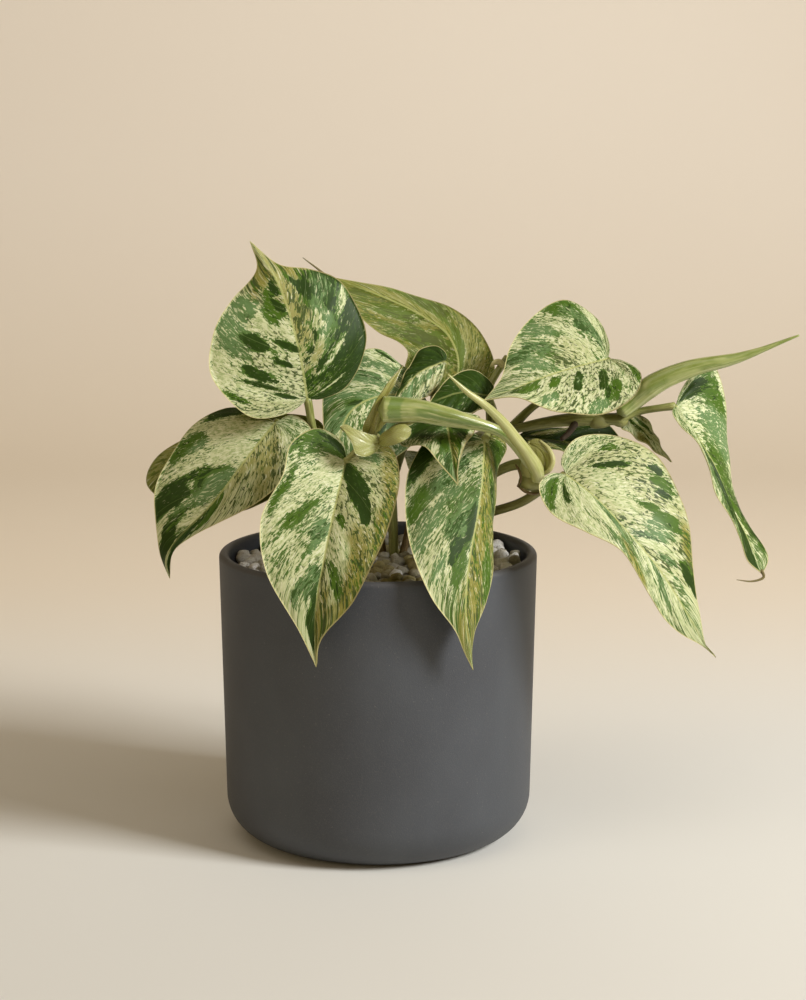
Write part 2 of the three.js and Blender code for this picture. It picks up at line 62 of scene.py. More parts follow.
# Each blade is a midrib from base to tip, and the two margins from the base, back round the
# lobes and forward to the tip. Left is on the left when the upper face is seen tip up.
LEAVES = {
    "leaf_upper_left": {
        "rib": [(-28, -14, 182), (-31, -16, 202), (-39, -10, 227), (-51, -2, 244)],
        "left": [(-35, -18, 177), (-50, -22, 176), (-66, -17, 192), (-65, -12, 208), (-58, -8, 221),
                 (-48, -5, 233)],
        "right": [(-22, -14, 182), (-12, -12, 187), (-4.5, -6, 206), (-14, -4, 227), (-27, -4, 233),
                  (-40, -4, 235)],
    },
    "leaf_top_back": {
        "rib": [(30, 14, 180), (33, 20, 192), (29, 24, 203), (17, 24, 212), (1, 19, 220),
                (-20, 7, 229)],
        "left": [(34, 12, 178), (46, 16, 183), (48, 23, 192), (42, 30, 205), (30, 32, 214),
                 (10, 26, 221.5), (-9, 15, 226.5)],
        "right": [(25, 12, 179), (17, 13, 182), (11, 14, 190), (12, 15, 198), (0, 14, 206),
                  (-10, 11, 215)],
        "thread": [(-17, 9, 227.5), (-20, 7, 229), (-25, 4.5, 233), (-30, 2, 237)],
    },
    "leaf_left": {
        "rib": [(-41, -12, 172), (-51, -20, 160), (-66, -26, 141), (-80, -29, 127), (-84, -28, 119),
                (-83, -24, 111)],
        "left": [(-34, -10, 175), (-26, -14, 169), (-31, -22, 157), (-48, -26, 142), (-74, -28, 128.5),
                 (-81.5, -27, 122)],
        "right": [(-48, -6, 175), (-61, -2, 177), (-77, -4, 167), (-89, -12, 146), (-87, -24, 123)],
    },
    "leaf_left_behind": {
        "rib": [(-22, 6, 163), (-47, 16, 158), (-72, 20, 148), (-87, 16, 133)],
        "left": [(-23, 8, 169), (-32, 12, 172), (-62, 22, 168), (-92, 26, 153), (-97, 22, 142)],
        "right": [(-21, 0, 158), (-27, -2, 151), (-48, 4, 136), (-68, 12, 131)],
    },
    "leaf_front_left": {
        "rib": [(-12, -42, 161), (-15, -52, 149), (-19, -64, 131), (-23, -70, 108), (-23, -69, 86)],
        "left": [(-6, -38, 166), (5, -42, 167), (9, -52, 156), (3, -68, 136), (-8, -75, 114),
                 (-21, -72, 97)],
        "right": [(-13, -40, 168), (-23, -40, 174), (-33, -46, 169), (-36, -52, 158), (-44, -60, 142),
                  (-42, -66, 123), (-29, -71, 100)],
    },
    "leaf_front_centre": {
        "rib": [(42, -40, 169), (40, -54, 150), (35, -66, 124), (34, -70, 105), (37, -66, 84.1)],
        "left": [(46, -36, 171), (51, -30, 165), (48, -28, 156), (46, -36, 143), (45, -50, 126),
                 (42.4, -61, 109.7), (37.4, -65, 98.1), (36.4, -66, 89.7)],
        "right": [(36, -36, 172), (23, -34, 172), (13, -42, 159), (11, -54, 144), (14, -66, 129),
                  (20.8, -73, 114.4), (30, -71, 100.7), (33.5, -68, 91.7)],
    },
    "leaf_centre": {
        "rib": [(19, 2, 180), (3, -2, 182), (-11, -10, 176), (-18, -22, 153)],
        "left": [(21, -4, 175), (14, -10, 163), (1, -18, 156), (-11, -22, 151)],
        "right": [(19, 6, 186), (11, 10, 192), (0, 12, 199), (-12, 8, 196), (-21, 0, 185),
                  (-22, -10, 173)],
    },
    "leaf_centre_folded": {
        "rib": [(27, 4, 195), (17, 0, 191), (6, -10, 180)],
        "left": [(26, 0, 189), (20, -6, 182), (12, -10, 179)],
        "right": [(28, 6, 197), (24, 8, 201), (17, 8, 199), (11, 2, 190)],
    },
    "leaf_centre_dark": {
        "rib": [(44, -4, 182), (34, -10, 184), (20, -22, 181)],
        "left": [(44, -10, 179), (37, -16, 176), (28, -22, 177)],
        "right": [(47, 0, 185), (42, 5, 190), (34, 3, 191), (26, -8, 187)],
    },
    "leaf_small_pointed": {
        "rib": [(27, -27, 176), (28, -40, 171), (31, -60, 155)],
        "left": [(32, -24, 178), (40, -26, 177), (38, -38, 173), (32, -52, 164)],
        "right": [(22, -24, 177), (11, -26, 175), (9, -38, 168), (19, -46, 167), (26, -54, 160)],
    },
    "leaf_upper_right": {
        "rib": [(94, 12, 195), (82, 4, 193), (67, -8, 190), (53, -19, 186), (42, -26, 183)],
        "left": [(99, 8, 195), (106, -2, 191), (102, -14, 182), (88, -22, 177), (72, -26, 178),
                 (56, -27, 184)],
        "right": [(95, 16, 200), (90, 28, 211), (78, 34, 217), (64, 28, 211), (54, 10, 200),
                  (49, -10, 189)],
    },
    "leaf_lower_right": {
        "rib": [(74, -36, 155), (84, -44, 148), (95, -50, 137), (108, -50, 122), (121, -45, 102),
                (129, -40, 88), (134, -38, 82)],
        "left": [(72, -34, 160), (78, -28, 168), (93, -24, 169), (110, -26, 161), (121, -32, 142),
                 (124, -37, 121), (127, -40, 100), (129.5, -40, 88)],
        "right": [(68, -38, 156), (63, -42, 152), (67, -50, 143), (80, -57, 136), (95, -60, 129),
                  (105, -56, 111), (117, -46, 95), (128.5, -40, 87)],
    },
    "leaf_far_right": {
        "rib": [(120, -6, 178), (131, -12, 162), (137, -14, 151), (143, -12, 137), (150, -8, 124),
                (157, -4.5, 108.5)],
        "left": [(122, -2, 183), (128, 5, 190), (137, 12, 193), (142, 12, 178), (144, 8, 158),
                 (144, 2, 145), (152, 0, 128), (159.5, -2, 115)],
        "right": [(118, -10, 176), (121, -16, 171), (127, -20, 166), (131, -22, 156), (135, -20, 146),
                  (140, -18, 136), (147, -13, 124), (150, -9, 115)],
        "thread": [(156.5, -5, 110.5), (157.5, -5, 107.5), (153, -6, 106), (146, -8, 107)],
    },
    "leaf_narrow_right": {
        "rib": [(101, 8, 173), (109, 4, 166), (119, -4, 155)],
        "left": [(106, 12, 173), (112, 10, 168), (115, 4, 161)],
        "right": [(99, 2, 168), (104, 0, 165), (111, -2, 160)],
    },
    "leaf_under_vine": {
        "rib": [(57, 8, 163), (71, 12, 161.5), (88, 16, 158), (108, 12, 147)],
        "left": [(60, 13, 165), (66, 20, 165.5), (80, 26, 164), (92, 28, 167), (103, 22, 158)],
        "right": [(59, 4, 161.5), (67, 2, 160), (78, 2, 157), (95, 5, 150)],
    },
    "leaf_back_left": {
        "rib": [(-12, 42, 150), (-16, 60, 147), (-21, 74, 130), (-25, 78, 104)],
        "left": [(-16, 40, 154), (-30, 44, 156), (-40, 62, 145), (-36, 74, 126)],
        "right": [(-8, 40, 153), (4, 46, 154), (4, 64, 144), (-8, 77, 124)],
    },
    "leaf_back_right": {
        "rib": [(26, 42, 146), (30, 58, 144), (35, 72, 129), (38, 80, 104)],
        "left": [(22, 40, 150), (12, 46, 152), (12, 62, 143), (24, 75, 124)],
        "right": [(31, 40, 149), (43, 43, 150), (51, 60, 141), (47, 73, 124)],
    },
}

# Shares run from 0 at the base to 1 at the tip, and reach from 0 at the midrib to 1 at the margin.
FIRST_SHARE = 0.035
LOBE_SHARE = 0.3
VEIN_SWEEP = (0.09, 0.03)
VEIN_LAG = 1.25
BLADE_ROWS = 72
BLADE_COLUMNS = 22
COLUMN_CROWDING = 1.15

# The map that the marbling follows: how much it is shortened along the blade, and how far apart
# the two halves lie on it, in mm
MAP_SCALE = 0.8
MAP_HALVES_APART = 300

BLADE_SEED_STEP, FLAP_SEED_STEP = 1.7, 2.1
BLADE_CROWN = 0.05
MARGIN_WAVE, MARGIN_WAVES = 0.7, 3.5
PLEAT_HEIGHT, PLEATS = 0.25, 8
RIPPLE_HEIGHT = 0.4
BLADE_HALF_THICKNESS, MARGIN_THINNING = 0.27, 0.55
FLAP_FLESHINESS = 1.6
GROOVE_DEPTH, GROOVE_WIDTH = 0.3, 0.7
RIDGE_HEIGHT, RIDGE_WIDTH = 0.8, 1.1
THREAD_RADII = (0.7, 0.5, 0.35, 0.15)
THREAD_TONE = (0.8, 0, 0)


def smooth(points, shares):
    """Points at these shares of the length of a smooth curve through the given points."""
    p = np.array(points, float)
    p = np.vstack([2 * p[0] - p[1], p, 2 * p[-1] - p[-2]])
    t = np.linspace(0, 1, 25)[:, None]
    pieces = []
    for a, b, c, d in zip(p, p[1:], p[2:], p[3:]):
        ab, bc, cd = (max(np.linalg.norm(y - x), 1e-6) ** 0.5 for x, y in ((a, b), (b, c), (c, d)))
        start = ((b - a) / ab - (c - a) / (ab + bc) + (c - b) / bc) * bc
        end = ((c - b) / bc - (d - b) / (bc + cd) + (d - c) / cd) * bc
        bend = -3 * b + 3 * c - 2 * start - end
        twist = 2 * b - 2 * c + start + end
        pieces.append(b + start * t + bend * t**2 + twist * t**3)
    line = np.vstack([piece[:-1] for piece in pieces] + [p[-2:-1]])
    walked = np.concatenate([[0], np.cumsum(np.linalg.norm(np.diff(line, axis=0), axis=1))])
    at = np.asarray(shares) * walked[-1]
    return np.stack([np.interp(at, walked, line[:, k]) for k in range(3)], axis=1)


def length_of(points):
    """Length of the smooth curve through these points."""
    line = smooth(points, np.linspace(0, 1, 60))
    return float(np.linalg.norm(np.diff(line, axis=0), axis=1).sum())


def corner_normals(points, faces):
    """A normal at each point, from the faces round it."""
    normals = np.zeros_like(points)
    for face in faces:
        a, b, c = points[face[0]], points[face[1]], points[face[-1]]
        normal = np.cross(b - a, c - a)
        for corner in face:
            normals[corner] += normal
    return normals / np.maximum(np.linalg.norm(normals, axis=1, keepdims=True), 1e-12)


def make_piece(name, points, faces, material):
    """A smooth-shaded mesh object from points in millimetres."""
    mesh = bpy.data.meshes.new(name)
    mesh.from_pydata((np.asarray(points) * MM).tolist(), [], [list(face) for face in faces])
    mesh.polygons.foreach_set("use_smooth", [True] * len(mesh.polygons))
    mesh.materials.append(material)
    piece = bpy.data.objects.new(name, mesh)
    bpy.context.scene.collection.objects.link(piece)
    return piece


def add_map(piece, name, corners):
    """A UV map from one pair of numbers for each corner of each face."""
    layer = piece.data.uv_layers.new(name=name)
    layer.data.foreach_set("uv", np.asarray(corners, np.float32).ravel())


def add_values(piece, name, values):
    """Three numbers on each point, which a material reads by this name."""
    attribute = piece.data.attributes.new(name, "FLOAT_VECTOR", "POINT")
    attribute.data.foreach_set("vector", np.asarray(values, np.float32).ravel())


def settle(piece, slot, *nodes):
    """The piece rides with the plant and stands for these nodes; the slot is not used."""
    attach(piece, "root")
    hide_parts(*nodes)


# Blades


def swept(out):
    """How much further towards the tip a vein is at this reach than where it leaves the midrib."""
    return VEIN_SWEEP[0] * out + VEIN_SWEEP[1] * out**2


def evened(directions, faces, rounds):
    """Directions averaged with those of the neighbouring corners, so that they turn gently."""
    starts, ends = np.array([pair for face in faces for pair in zip(face, face[1:] + face[:1])]).T
    for _ in range(rounds):
        sums = directions.copy()
        np.add.at(sums, starts, directions[ends])
        np.add.at(sums, ends, directions[starts])
        directions = sums / np.maximum(np.linalg.norm(sums, axis=1, keepdims=True), 1e-12)
    return directions


def blade_lift(share, out, length, seed, calm):
    """How far the surface stands above a straight line from the midrib to the margin.

    A calm of 1 leaves the waves, pleats and ripples as they are, and a small one flattens them.
    """
    hump = 4 * out * (1 - out)
    crown = BLADE_CROWN * length * hump
    wave = MARGIN_WAVE * out**2 * math.sin(2 * math.pi * MARGIN_WAVES * share)
    pleat = PLEAT_HEIGHT * math.cos(2 * math.pi * PLEATS * (share - swept(out)) + seed) * hump**0.7
    ripple = RIPPLE_HEIGHT * noise.noise(Vector((share * 5, out * 2.5, seed * 3.7))) * min(1, 3 * out)
    return (crown + (wave + pleat + ripple) * calm) * math.sin(math.pi * share)


def blade_middle(leaf, seed, calm):
    """The middle surface of a blade: points, what is known of each, faces, vein map, margins."""
    base, tip = np.array(leaf["rib"][0], float), np.array(leaf["rib"][-1], float)
    share = np.linspace(FIRST_SHARE, 1, BLADE_ROWS + 1)
    roots = smooth(leaf["rib"], np.maximum(0, (share - LOBE_SHARE) / (1 - LOBE_SHARE)) ** VEIN_LAG)
    out = np.linspace(0, 1, BLADE_COLUMNS + 1) ** COLUMN_CROWDING
    points, facts, lifts = [base, tip], [(FIRST_SHARE, 0, 0, 0), (1, 0, 0, 0)], [0, 0]
    ids = np.zeros((2, BLADE_ROWS + 1, BLADE_COLUMNS + 1), int)
    maps = np.zeros((2, BLADE_ROWS + 1, BLADE_COLUMNS + 1, 2))
    for half, side in enumerate(("left", "right")):
        edges = smooth([base, *leaf[side], tip], share)
        margin_length = np.linalg.norm(np.diff(edges, axis=0), axis=1).sum()
        for row, (along, root, edge) in enumerate(zip(share, roots, edges)):
            width = float(np.linalg.norm(edge - root))
            for column, reach in enumerate(out):
                lag = (along - swept(reach)) * margin_length * MAP_SCALE
                maps[half, row, column] = (width * reach, lag + MAP_HALVES_APART * half)
                if row == BLADE_ROWS:
                    ids[half, row, column] = 1
                elif column == 0 and along <= LOBE_SHARE:
                    ids[half, row, column] = 0
                elif column == 0 and half == 1:
                    ids[half, row, column] = ids[0, row, 0]
                else:
                    ids[half, row, column] = len(points)
                    points.append(root + (edge - root) * reach)
                    facts.append((along, reach, half, width))
                    lifts.append(blade_lift(along, reach, width, seed, calm) if column else 0)
    faces, corners = [], []
    for half in (0, 1):
        for row in range(BLADE_ROWS):
            for column in range(BLADE_COLUMNS):
                places = [(row, column), (row + 1, column), (row + 1, column + 1), (row, column + 1)]
                kept = []
                for place in places if half == 0 else places[::-1]:
                    if ids[(half, *place)] not in [ids[(half, *other)] for other in kept]:
                        kept.append(place)
                if len(kept) > 2:
                    faces.append([int(ids[(half, *place)]) for place in kept])
                    corners.append([maps[(half, *place)] for place in kept])
    margins = []
    for half in (0, 1):
        first = [(0, column) for column in range(BLADE_COLUMNS)]
        rest = [(row, BLADE_COLUMNS) for row in range(BLADE_ROWS + 1)]
        margins.append([(int(ids[(half, *place)]), maps[(half, *place)]) for place in first + rest])
    points = np.array(points)
    points = points + corner_normals(points, faces) * np.array(lifts)[:, None]
    return points, np.array(facts), faces, corners, margins


def make_blade(name, leaf, material, seed, fleshy=1.0):
    """A thin closed blade: a groove over the midrib above, the raised midrib below.

    A fleshy one is thicker by this factor, and calmer.
    """
    points, facts, faces, corners, margins = blade_middle(leaf, seed, 1 / fleshy**4)
    normals = evened(corner_normals(points, faces), faces, 2)
    count = len(points)
    along, out, half, width = facts.T
    from_rib = width * out
    slim = BLADE_HALF_THICKNESS * fleshy * (1 - MARGIN_THINNING * out**14)
    rib = np.clip(1.1 - 0.9 * along, 0.15, 1) * np.clip(along * 8, 0, 1)
    groove = GROOVE_DEPTH * rib * np.exp(-((from_rib / GROOVE_WIDTH) ** 2))
    ridge = RIDGE_HEIGHT * rib * np.exp(-((from_rib / RIDGE_WIDTH) ** 2))
    upper = points + normals * (slim - groove)[:, None]
    lower = points - normals * (slim + ridge)[:, None]
    all_faces = faces + [[corner + count for corner in face[::-1]] for face in faces]
    all_corners = corners + [corner[::-1] for corner in corners]
    for side, edge in enumerate(margins):
        for (a, map_a), (b, map_b) in zip(edge, edge[1:]):
            if a == b:
                continue
            if side == 0:
                all_faces.append([a, a + count, b + count, b])
                all_corners.append([map_a, map_a, map_b, map_b])
            else:
                all_faces.append([a, b, b + count, a + count])
                all_corners.append([map_a, map_b, map_b, map_a])
    piece = make_piece(name.replace("leaf_", "blade_"), np.vstack([upper, lower]), all_faces, material)
    add_map(piece, "vein", [pair for corner in all_corners for pair in corner])
    under, from_margin = np.repeat([0.0, 1.0], count), width * (1 - out)
    add_values(piece, "place", np.stack([np.tile(from_margin, 2), under, np.tile(along, 2)], axis=1))
    if name in MARKINGS:
        amounts = np.tile(marked(name, along, out, half), (2, 1))
        add_values(piece, "marking", amounts[:, :3])
        add_values(piece, "wash", amounts[:, 3:])
    return piece


# Tubes

PETIOLE_RADII = (2.08, 1.632, 1.52, 1.52, 1.76)


def tube_frames(line):
    """Two directions across the line at each of its points, turning as little as they can."""
    ahead = np.gradient(line, axis=0)
    ahead /= np.linalg.norm(ahead, axis=1, keepdims=True)
    across = np.cross(ahead[0], (0, 0, 1) if abs(ahead[0][2]) < 0.9 else (1, 0, 0))
    firsts = []
    for direction in ahead:
        across = across - direction * (across @ direction)
        across = across / np.linalg.norm(across)
        firsts.append(across)
    firsts = np.array(firsts)
    return firsts, np.cross(ahead, firsts)


def tube(points, radii, sides=16, step=1.6, shape=None):
    """Corners, faces and map of a round tube with closed ends, along a smooth path.

    The radii are spread evenly along it, the sides go round it, and the step is the distance from
    one ring of corners to the next. A shape changes the radius by share and angle.
    """
    length = length_of(points)
    rings = max(6, round(length / step)) + 1
    share = np.linspace(0, 1, rings)
    line = smooth(points, share)
    firsts, seconds = tube_frames(line)
    wide = np.interp(share, np.linspace(0, 1, len(radii)), radii)
    angles = 2 * math.pi * np.arange(sides) / sides
    corners, lengths = [], []
    for k in range(rings):
        factor = np.array([shape(share[k], angle) if shape else 1.0 for angle in angles])
        spoke = np.cos(angles)[:, None] * firsts[k] + np.sin(angles)[:, None] * seconds[k]
        corners.append(line[k] + spoke * (wide[k] * factor)[:, None])
        lengths.append(share[k] * length)
    faces, maps = [], []
    for k in range(rings - 1):
        for j in range(sides):
            n = (j + 1) % sides
            faces.append([k * sides + j, k * sides + n, (k + 1) * sides + n, (k + 1) * sides + j])
            a, b = j / sides, (j + 1) / sides
            maps.append([(a, lengths[k]), (b, lengths[k]), (b, lengths[k + 1]), (a, lengths[k + 1])])
    corners = list(np.vstack(corners))
    for end, outward in ((0, -1), (rings - 1, 1)):
        corners.append(line[end] + np.cross(firsts[end], seconds[end]) * outward * wide[end] * 0.5)
        for j in range(sides):
            a, b = end * sides + j, end * sides + (j + 1) % sides
            faces.append([a, b, len(corners) - 1][::outward])
            maps.append([(0.5, lengths[end])] * 3)
    return np.array(corners), faces, maps


def joined(parts):
    """Several sets of corners, faces and maps as one set."""
    corners, faces, maps, start = [], [], [], 0
    for points, part_faces, part_maps in parts:
        corners.append(np.asarray(points, float))
        faces += [[corner + start for corner in face] for face in part_faces]
        maps += part_maps
        start += len(points)
    return np.vstack(corners), faces, maps


def toned_piece(name, parts, material, tones):
    """One piece from several parts, with a tone of three numbers for each part."""
    corners, faces, maps = joined(parts)
    piece = make_piece(name, corners, faces, material)
    if maps:
        add_map(piece, "along", [pair for face in maps for pair in face])
    rows = [np.tile(tone, (len(part[0]), 1)) for part, tone in zip(parts, tones)]
    add_values(piece, "tone", np.vstack(rows))
    return piece


def unit_ball(detail):
    """Corners and faces of a ball of radius 1."""
    ball = bmesh.new()
    bmesh.ops.create_icosphere(ball, subdivisions=detail, radius=1)
    corners = np.array([vert.co for vert in ball.verts])
    faces = [[vert.index for vert in face.verts] for face in ball.faces]
    ball.free()
    return corners, faces


def knot(centre, radii, seed=0.0):
    """A lumpy ball, for a node on a vine."""
    corners, faces = unit_ball(3)
    lumps = [1 + 0.12 * noise.noise(Vector(corner) * 1.7 + Vector((seed, 0, 0))) for corner in corners]
    corners = corners * np.array(radii) * np.array(lumps)[:, None] + np.array(centre)
    return corners, faces, [[(0.5, 0.0)] * 3 for _ in faces]


def ridged(share, angle):
    """A stem with a shallow channel and slight ridges."""
    return 1 - 0.1 * math.exp(-(((angle - math.pi / 2) / 0.5) ** 2)) + 0.02 * math.cos(5 * angle)


def lapped(share, angle):
    """A rolled leaf, whose outer edge shows as a small step along its length."""
    return 1 + 0.045 * ((angle / (2 * math.pi) + 0.18 * share) % 1.0) + 0.012 * math.cos(3 * angle)


def petiole(points):
    """The stalk of a leaf, a little thicker at both ends."""
    return tube(points, PETIOLE_RADII, 14, shape=ridged)


# Pot, soil and gravel

POT_HEIGHT = 118
RIM_RADIUS = 65
LOW_RADIUS = 63
FOOT_CORNER = 17
FOOT_RADIUS, FOOT_RISE = 45.5, 1.2
POT_WALL = 4
INSIDE_TAPER, INSIDE_CORNER, INSIDE_FLOOR = 2, 20, 6
POT_SIDES = 192

SOIL_TOP, SOIL_RADIUS, SOIL_LUMPS = 101.2, 60.1, 1.6
SOIL_WALL, SOIL_BOTTOM = [(SOIL_RADIUS, 60), (59.0, 30), (58.6, 19), (50, 8)], 7
SOIL_SIDES, SOIL_RINGS = 72, 20


def level_ring(radius, height, sides):
    """Corners of a level circle round the axis of the pot."""
    angles = 2 * math.pi * np.arange(sides) / sides
    return [(radius * math.cos(a), radius * math.sin(a), height) for a in angles]


def ring_faces(inner, outer, sides):
    """Faces between two rings, each given by its first corner."""
    pairs = [(j, (j + 1) % sides) for j in range(sides)]
    return [[inner + j, outer + j, outer + n, inner + n] for j, n in pairs]


def cap_faces(centre, start, sides, turn=1):
    """Faces from one corner to every side of a ring; a turn of -1 makes them look the other way."""
    return [[centre, start + j, start + (j + 1) % sides][::turn] for j in range(sides)]


def lathe(name, profile, sides, material):
    """A turned piece from (radius, height) pairs that start and end on the axis."""
    corners = [(0, 0, profile[0][1])]
    for radius, height in profile[1:-1]:
        corners += level_ring(radius, height, sides)
    corners.append((0, 0, profile[-1][1]))
    starts = range(1, len(corners) - 1, sides)
    faces = cap_faces(0, starts[0], sides, -1) + cap_faces(len(corners) - 1, starts[-1], sides)
    for low, high in zip(starts, starts[1:]):
        faces += ring_faces(high, low, sides)
    return make_piece(name, corners, faces, material)


def pot_profile():
    """Radius and height along the pot's wall: foot, outside, rounded rim, inside and floor."""
    profile = [(0, FOOT_RISE), (FOOT_RADIUS - 1.5, FOOT_RISE), (FOOT_RADIUS, 0)]
    corner = LOW_RADIUS - FOOT_CORNER
    profile += [(corner + FOOT_CORNER * math.sin(a), FOOT_CORNER * (1 - math.cos(a)))
                for a in np.linspace(0.08, math.pi / 2, 14)]
    half = POT_WALL / 2
    middle, top, inner = RIM_RADIUS - half, POT_HEIGHT - half, RIM_RADIUS - POT_WALL
    profile += [(LOW_RADIUS + (RIM_RADIUS - LOW_RADIUS) * t, FOOT_CORNER + (top - FOOT_CORNER) * t)
                for t in np.linspace(0.04, 0.98, 24)]
    profile += [(middle + half * math.cos(a), top + half * math.sin(a))
                for a in np.linspace(0, math.pi, 12)]
    profile += [(inner - INSIDE_TAPER * t, top + (INSIDE_CORNER - top) * t)
                for t in np.linspace(0.06, 1, 12)]
    return profile + [(inner - 8, INSIDE_FLOOR + 2), (0, INSIDE_FLOOR)]


def soil_corners():
    """Crumbly soil that fills the pot under the stones, from its middle outwards and then down."""
    corners = [(0, 0, SOIL_TOP)]
    for k in range(1, SOIL_RINGS + 1):
        corners += level_ring(SOIL_RADIUS * k / SOIL_RINGS, SOIL_TOP, SOIL_SIDES)
    for k, (x, y, height) in enumerate(corners):
        lump = noise.fractal(Vector((x * 0.16, y * 0.16, 4)), 1.0, 2.0, 3)
        calmer = 1 - 0.6 * math.hypot(x, y) / SOIL_RADIUS
        corners[k] = (x, y, height + SOIL_LUMPS * lump * calmer)
    for radius, height in SOIL_WALL:
        corners += level_ring(radius, height, SOIL_SIDES)
    corners.append((0, 0, SOIL_BOTTOM))
    starts = range(1, len(corners) - 1, SOIL_SIDES)
    faces = cap_faces(0, starts[0], SOIL_SIDES)
    faces += cap_faces(len(corners) - 1, starts[-1], SOIL_SIDES, -1)
    for inner, outer in zip(starts, starts[1:]):
        faces += ring_faces(inner, outer, SOIL_SIDES)
    return corners, faces


# Two layers of stones: how many, their radii, their height, how far apart, and how finely made
STONE_LAYERS = [(320, (2.5, 3.7), 110.8, 5.7, 2), (200, (2.8, 3.8), 106.8, 7.0, 1)]
STONE_REACH = 61
STONE_FLATS = 9
STONE_JITTER, STONE_ROUNDS = 1.5, 30
# Where stems come up through the stones: x, y and radius
STEM_FEET = [(6, 20, 4.4), (30, 3, 4.2), (17, 14, 4.4), (9, 21, 3), (2, 26, 3)]
# The stones are heaped up towards the wall, and between these two x their tones are shifted to grey and
# tan, a painted shade of the leaves over them
HEAP_HEIGHT, HEAP_START, HEAP_LENGTH, LEFT_HEAP = 3.6, 15, 35, 0.6
SHADE_FROM, SHADE_TO, SHADE_TONE_SHIFT = -2, 30, 0.42
TONE_SPREAD = 0.55


def stone(centre, size, shape, rand, detail):
    """One lump of pumice: a ball with flats broken off it and pits in it."""
    points, faces = unit_ball(detail)
    for _ in range(STONE_FLATS):
        normal = np.array([rand.gauss(0, 1) for _ in range(3)])
        normal /= np.linalg.norm(normal)
        over = np.maximum(0, points @ normal - rand.uniform(0.66, 0.86))
        points -= np.outer(over * 0.92, normal)
    offset = rand.uniform(0, 90)
    for k, point in enumerate(points):
        points[k] = point * (1 + 0.09 * noise.noise(Vector(point * 2.4) + Vector((offset, 0, 0))))
    turn, tilt = rand.uniform(0, 2 * math.pi), rand.uniform(-0.5, 0.5)
    turned = np.array(Euler((0, tilt, turn)).to_matrix())
    return (points * np.array(shape) * size) @ turned.T + np.array(centre), faces, []


def stone_places(count, reach, apart, rand):
    """Places spread over a disc, pushed apart from each other and off the feet of the stems."""
    places = []
    for k in range(count):
        angle, radius = k * math.pi * (3 - math.sqrt(5)), reach * math.sqrt((k + 0.5) / count)
        places.append((radius * math.cos(angle) + rand.uniform(-STONE_JITTER, STONE_JITTER),
                       radius * math.sin(angle) + rand.uniform(-STONE_JITTER, STONE_JITTER)))
    places = np.array(places)
    for _ in range(STONE_ROUNDS):
        gaps = places[:, None] - places[None]
        distances = np.linalg.norm(gaps, axis=2) + np.eye(count) * 99
        push = np.maximum(0, apart - distances)[:, :, None] * gaps / distances[:, :, None]
        places += 0.25 * push.sum(axis=1)
        for x, y, radius in STEM_FEET:
            gap = places - (x, y)
            distance = np.linalg.norm(gap, axis=1, keepdims=True) + 1e-6
            places += np.maximum(0, radius - distance) * gap / distance
        distance = np.linalg.norm(places, axis=1, keepdims=True)
        places *= np.minimum(1, reach / distance)
    return places


def stones(name, material, seed):
    """All the stones as one piece, each with a tone, a warmth and a seed of its own."""
    rand = random.Random(seed)
    parts, tones = [], []
    for count, size, height, apart, detail in STONE_LAYERS:
        for x, y in stone_places(count, STONE_REACH - size[1], apart, rand):
            big = rand.uniform(*size)
            shape = (rand.uniform(0.95, 1.15), rand.uniform(0.8, 1), rand.uniform(0.7, 0.9))
            slope = min(1, max(0, (abs(x) + 0.4 * y - HEAP_START) / HEAP_LENGTH))
            heap = HEAP_HEIGHT * slope * (LEFT_HEAP if x < 0 else 1)
            centre = (x, y, height + heap + rand.uniform(-1.0, 1.3))
            parts.append(stone(centre, big, shape, rand, detail))
            # Painted shade: stones under the leaves between these two x get greyer and browner tones.
            shade_shift = SHADE_TONE_SHIFT if SHADE_FROM < x < SHADE_TO else 0
            tones.append((rand.random() * TONE_SPREAD + shade_shift, rand.random(), rand.uniform(0, 50)))
    return toned_piece(name, parts, material, tones)


# What each mark brings: green streaks, dark patches, cool tint, tan ground, dark flecks, pale specks.
MARKS = {
    "cream": (0.24, 0.0, 0.45, 0.05, 0.3, 0.3),
    "flecked": (0.24, 0.08, 0.3, 0.1, 0.85, 0.2),
    "streaky": (0.5, 0.2, 0.3, 0.1, 0.4, 0.5),
    "rayed": (0.82, 0.62, 0.05, 0.3, 0.2, 0.45),
    "celadon": (0.76, 0.1, 1.0, 0.0, 0.1, 0.8),
    "slate": (0.82, 0.55, 1.0, 0.0, 0.2, 0.7),
    "green": (0.92, 0.4, 0.05, 0.0, 0.2, 0.4),
    "dark": (1.0, 1.0, 0.0, 0.0, 0.0, 0.1),
    "veined": (0.86, 0.72, 0.1, 0.25, 0.2, 0.25),
    "olive": (0.4, 0.22, 0.0, 1.0, 0.85, 0.1),
    "tan": (0.16, 0.08, 0.1, 0.85, 0.85, 0.15),
    "pale": (0.16, 0.04, 0.0, 0.32, 0.9, 0.15),
}

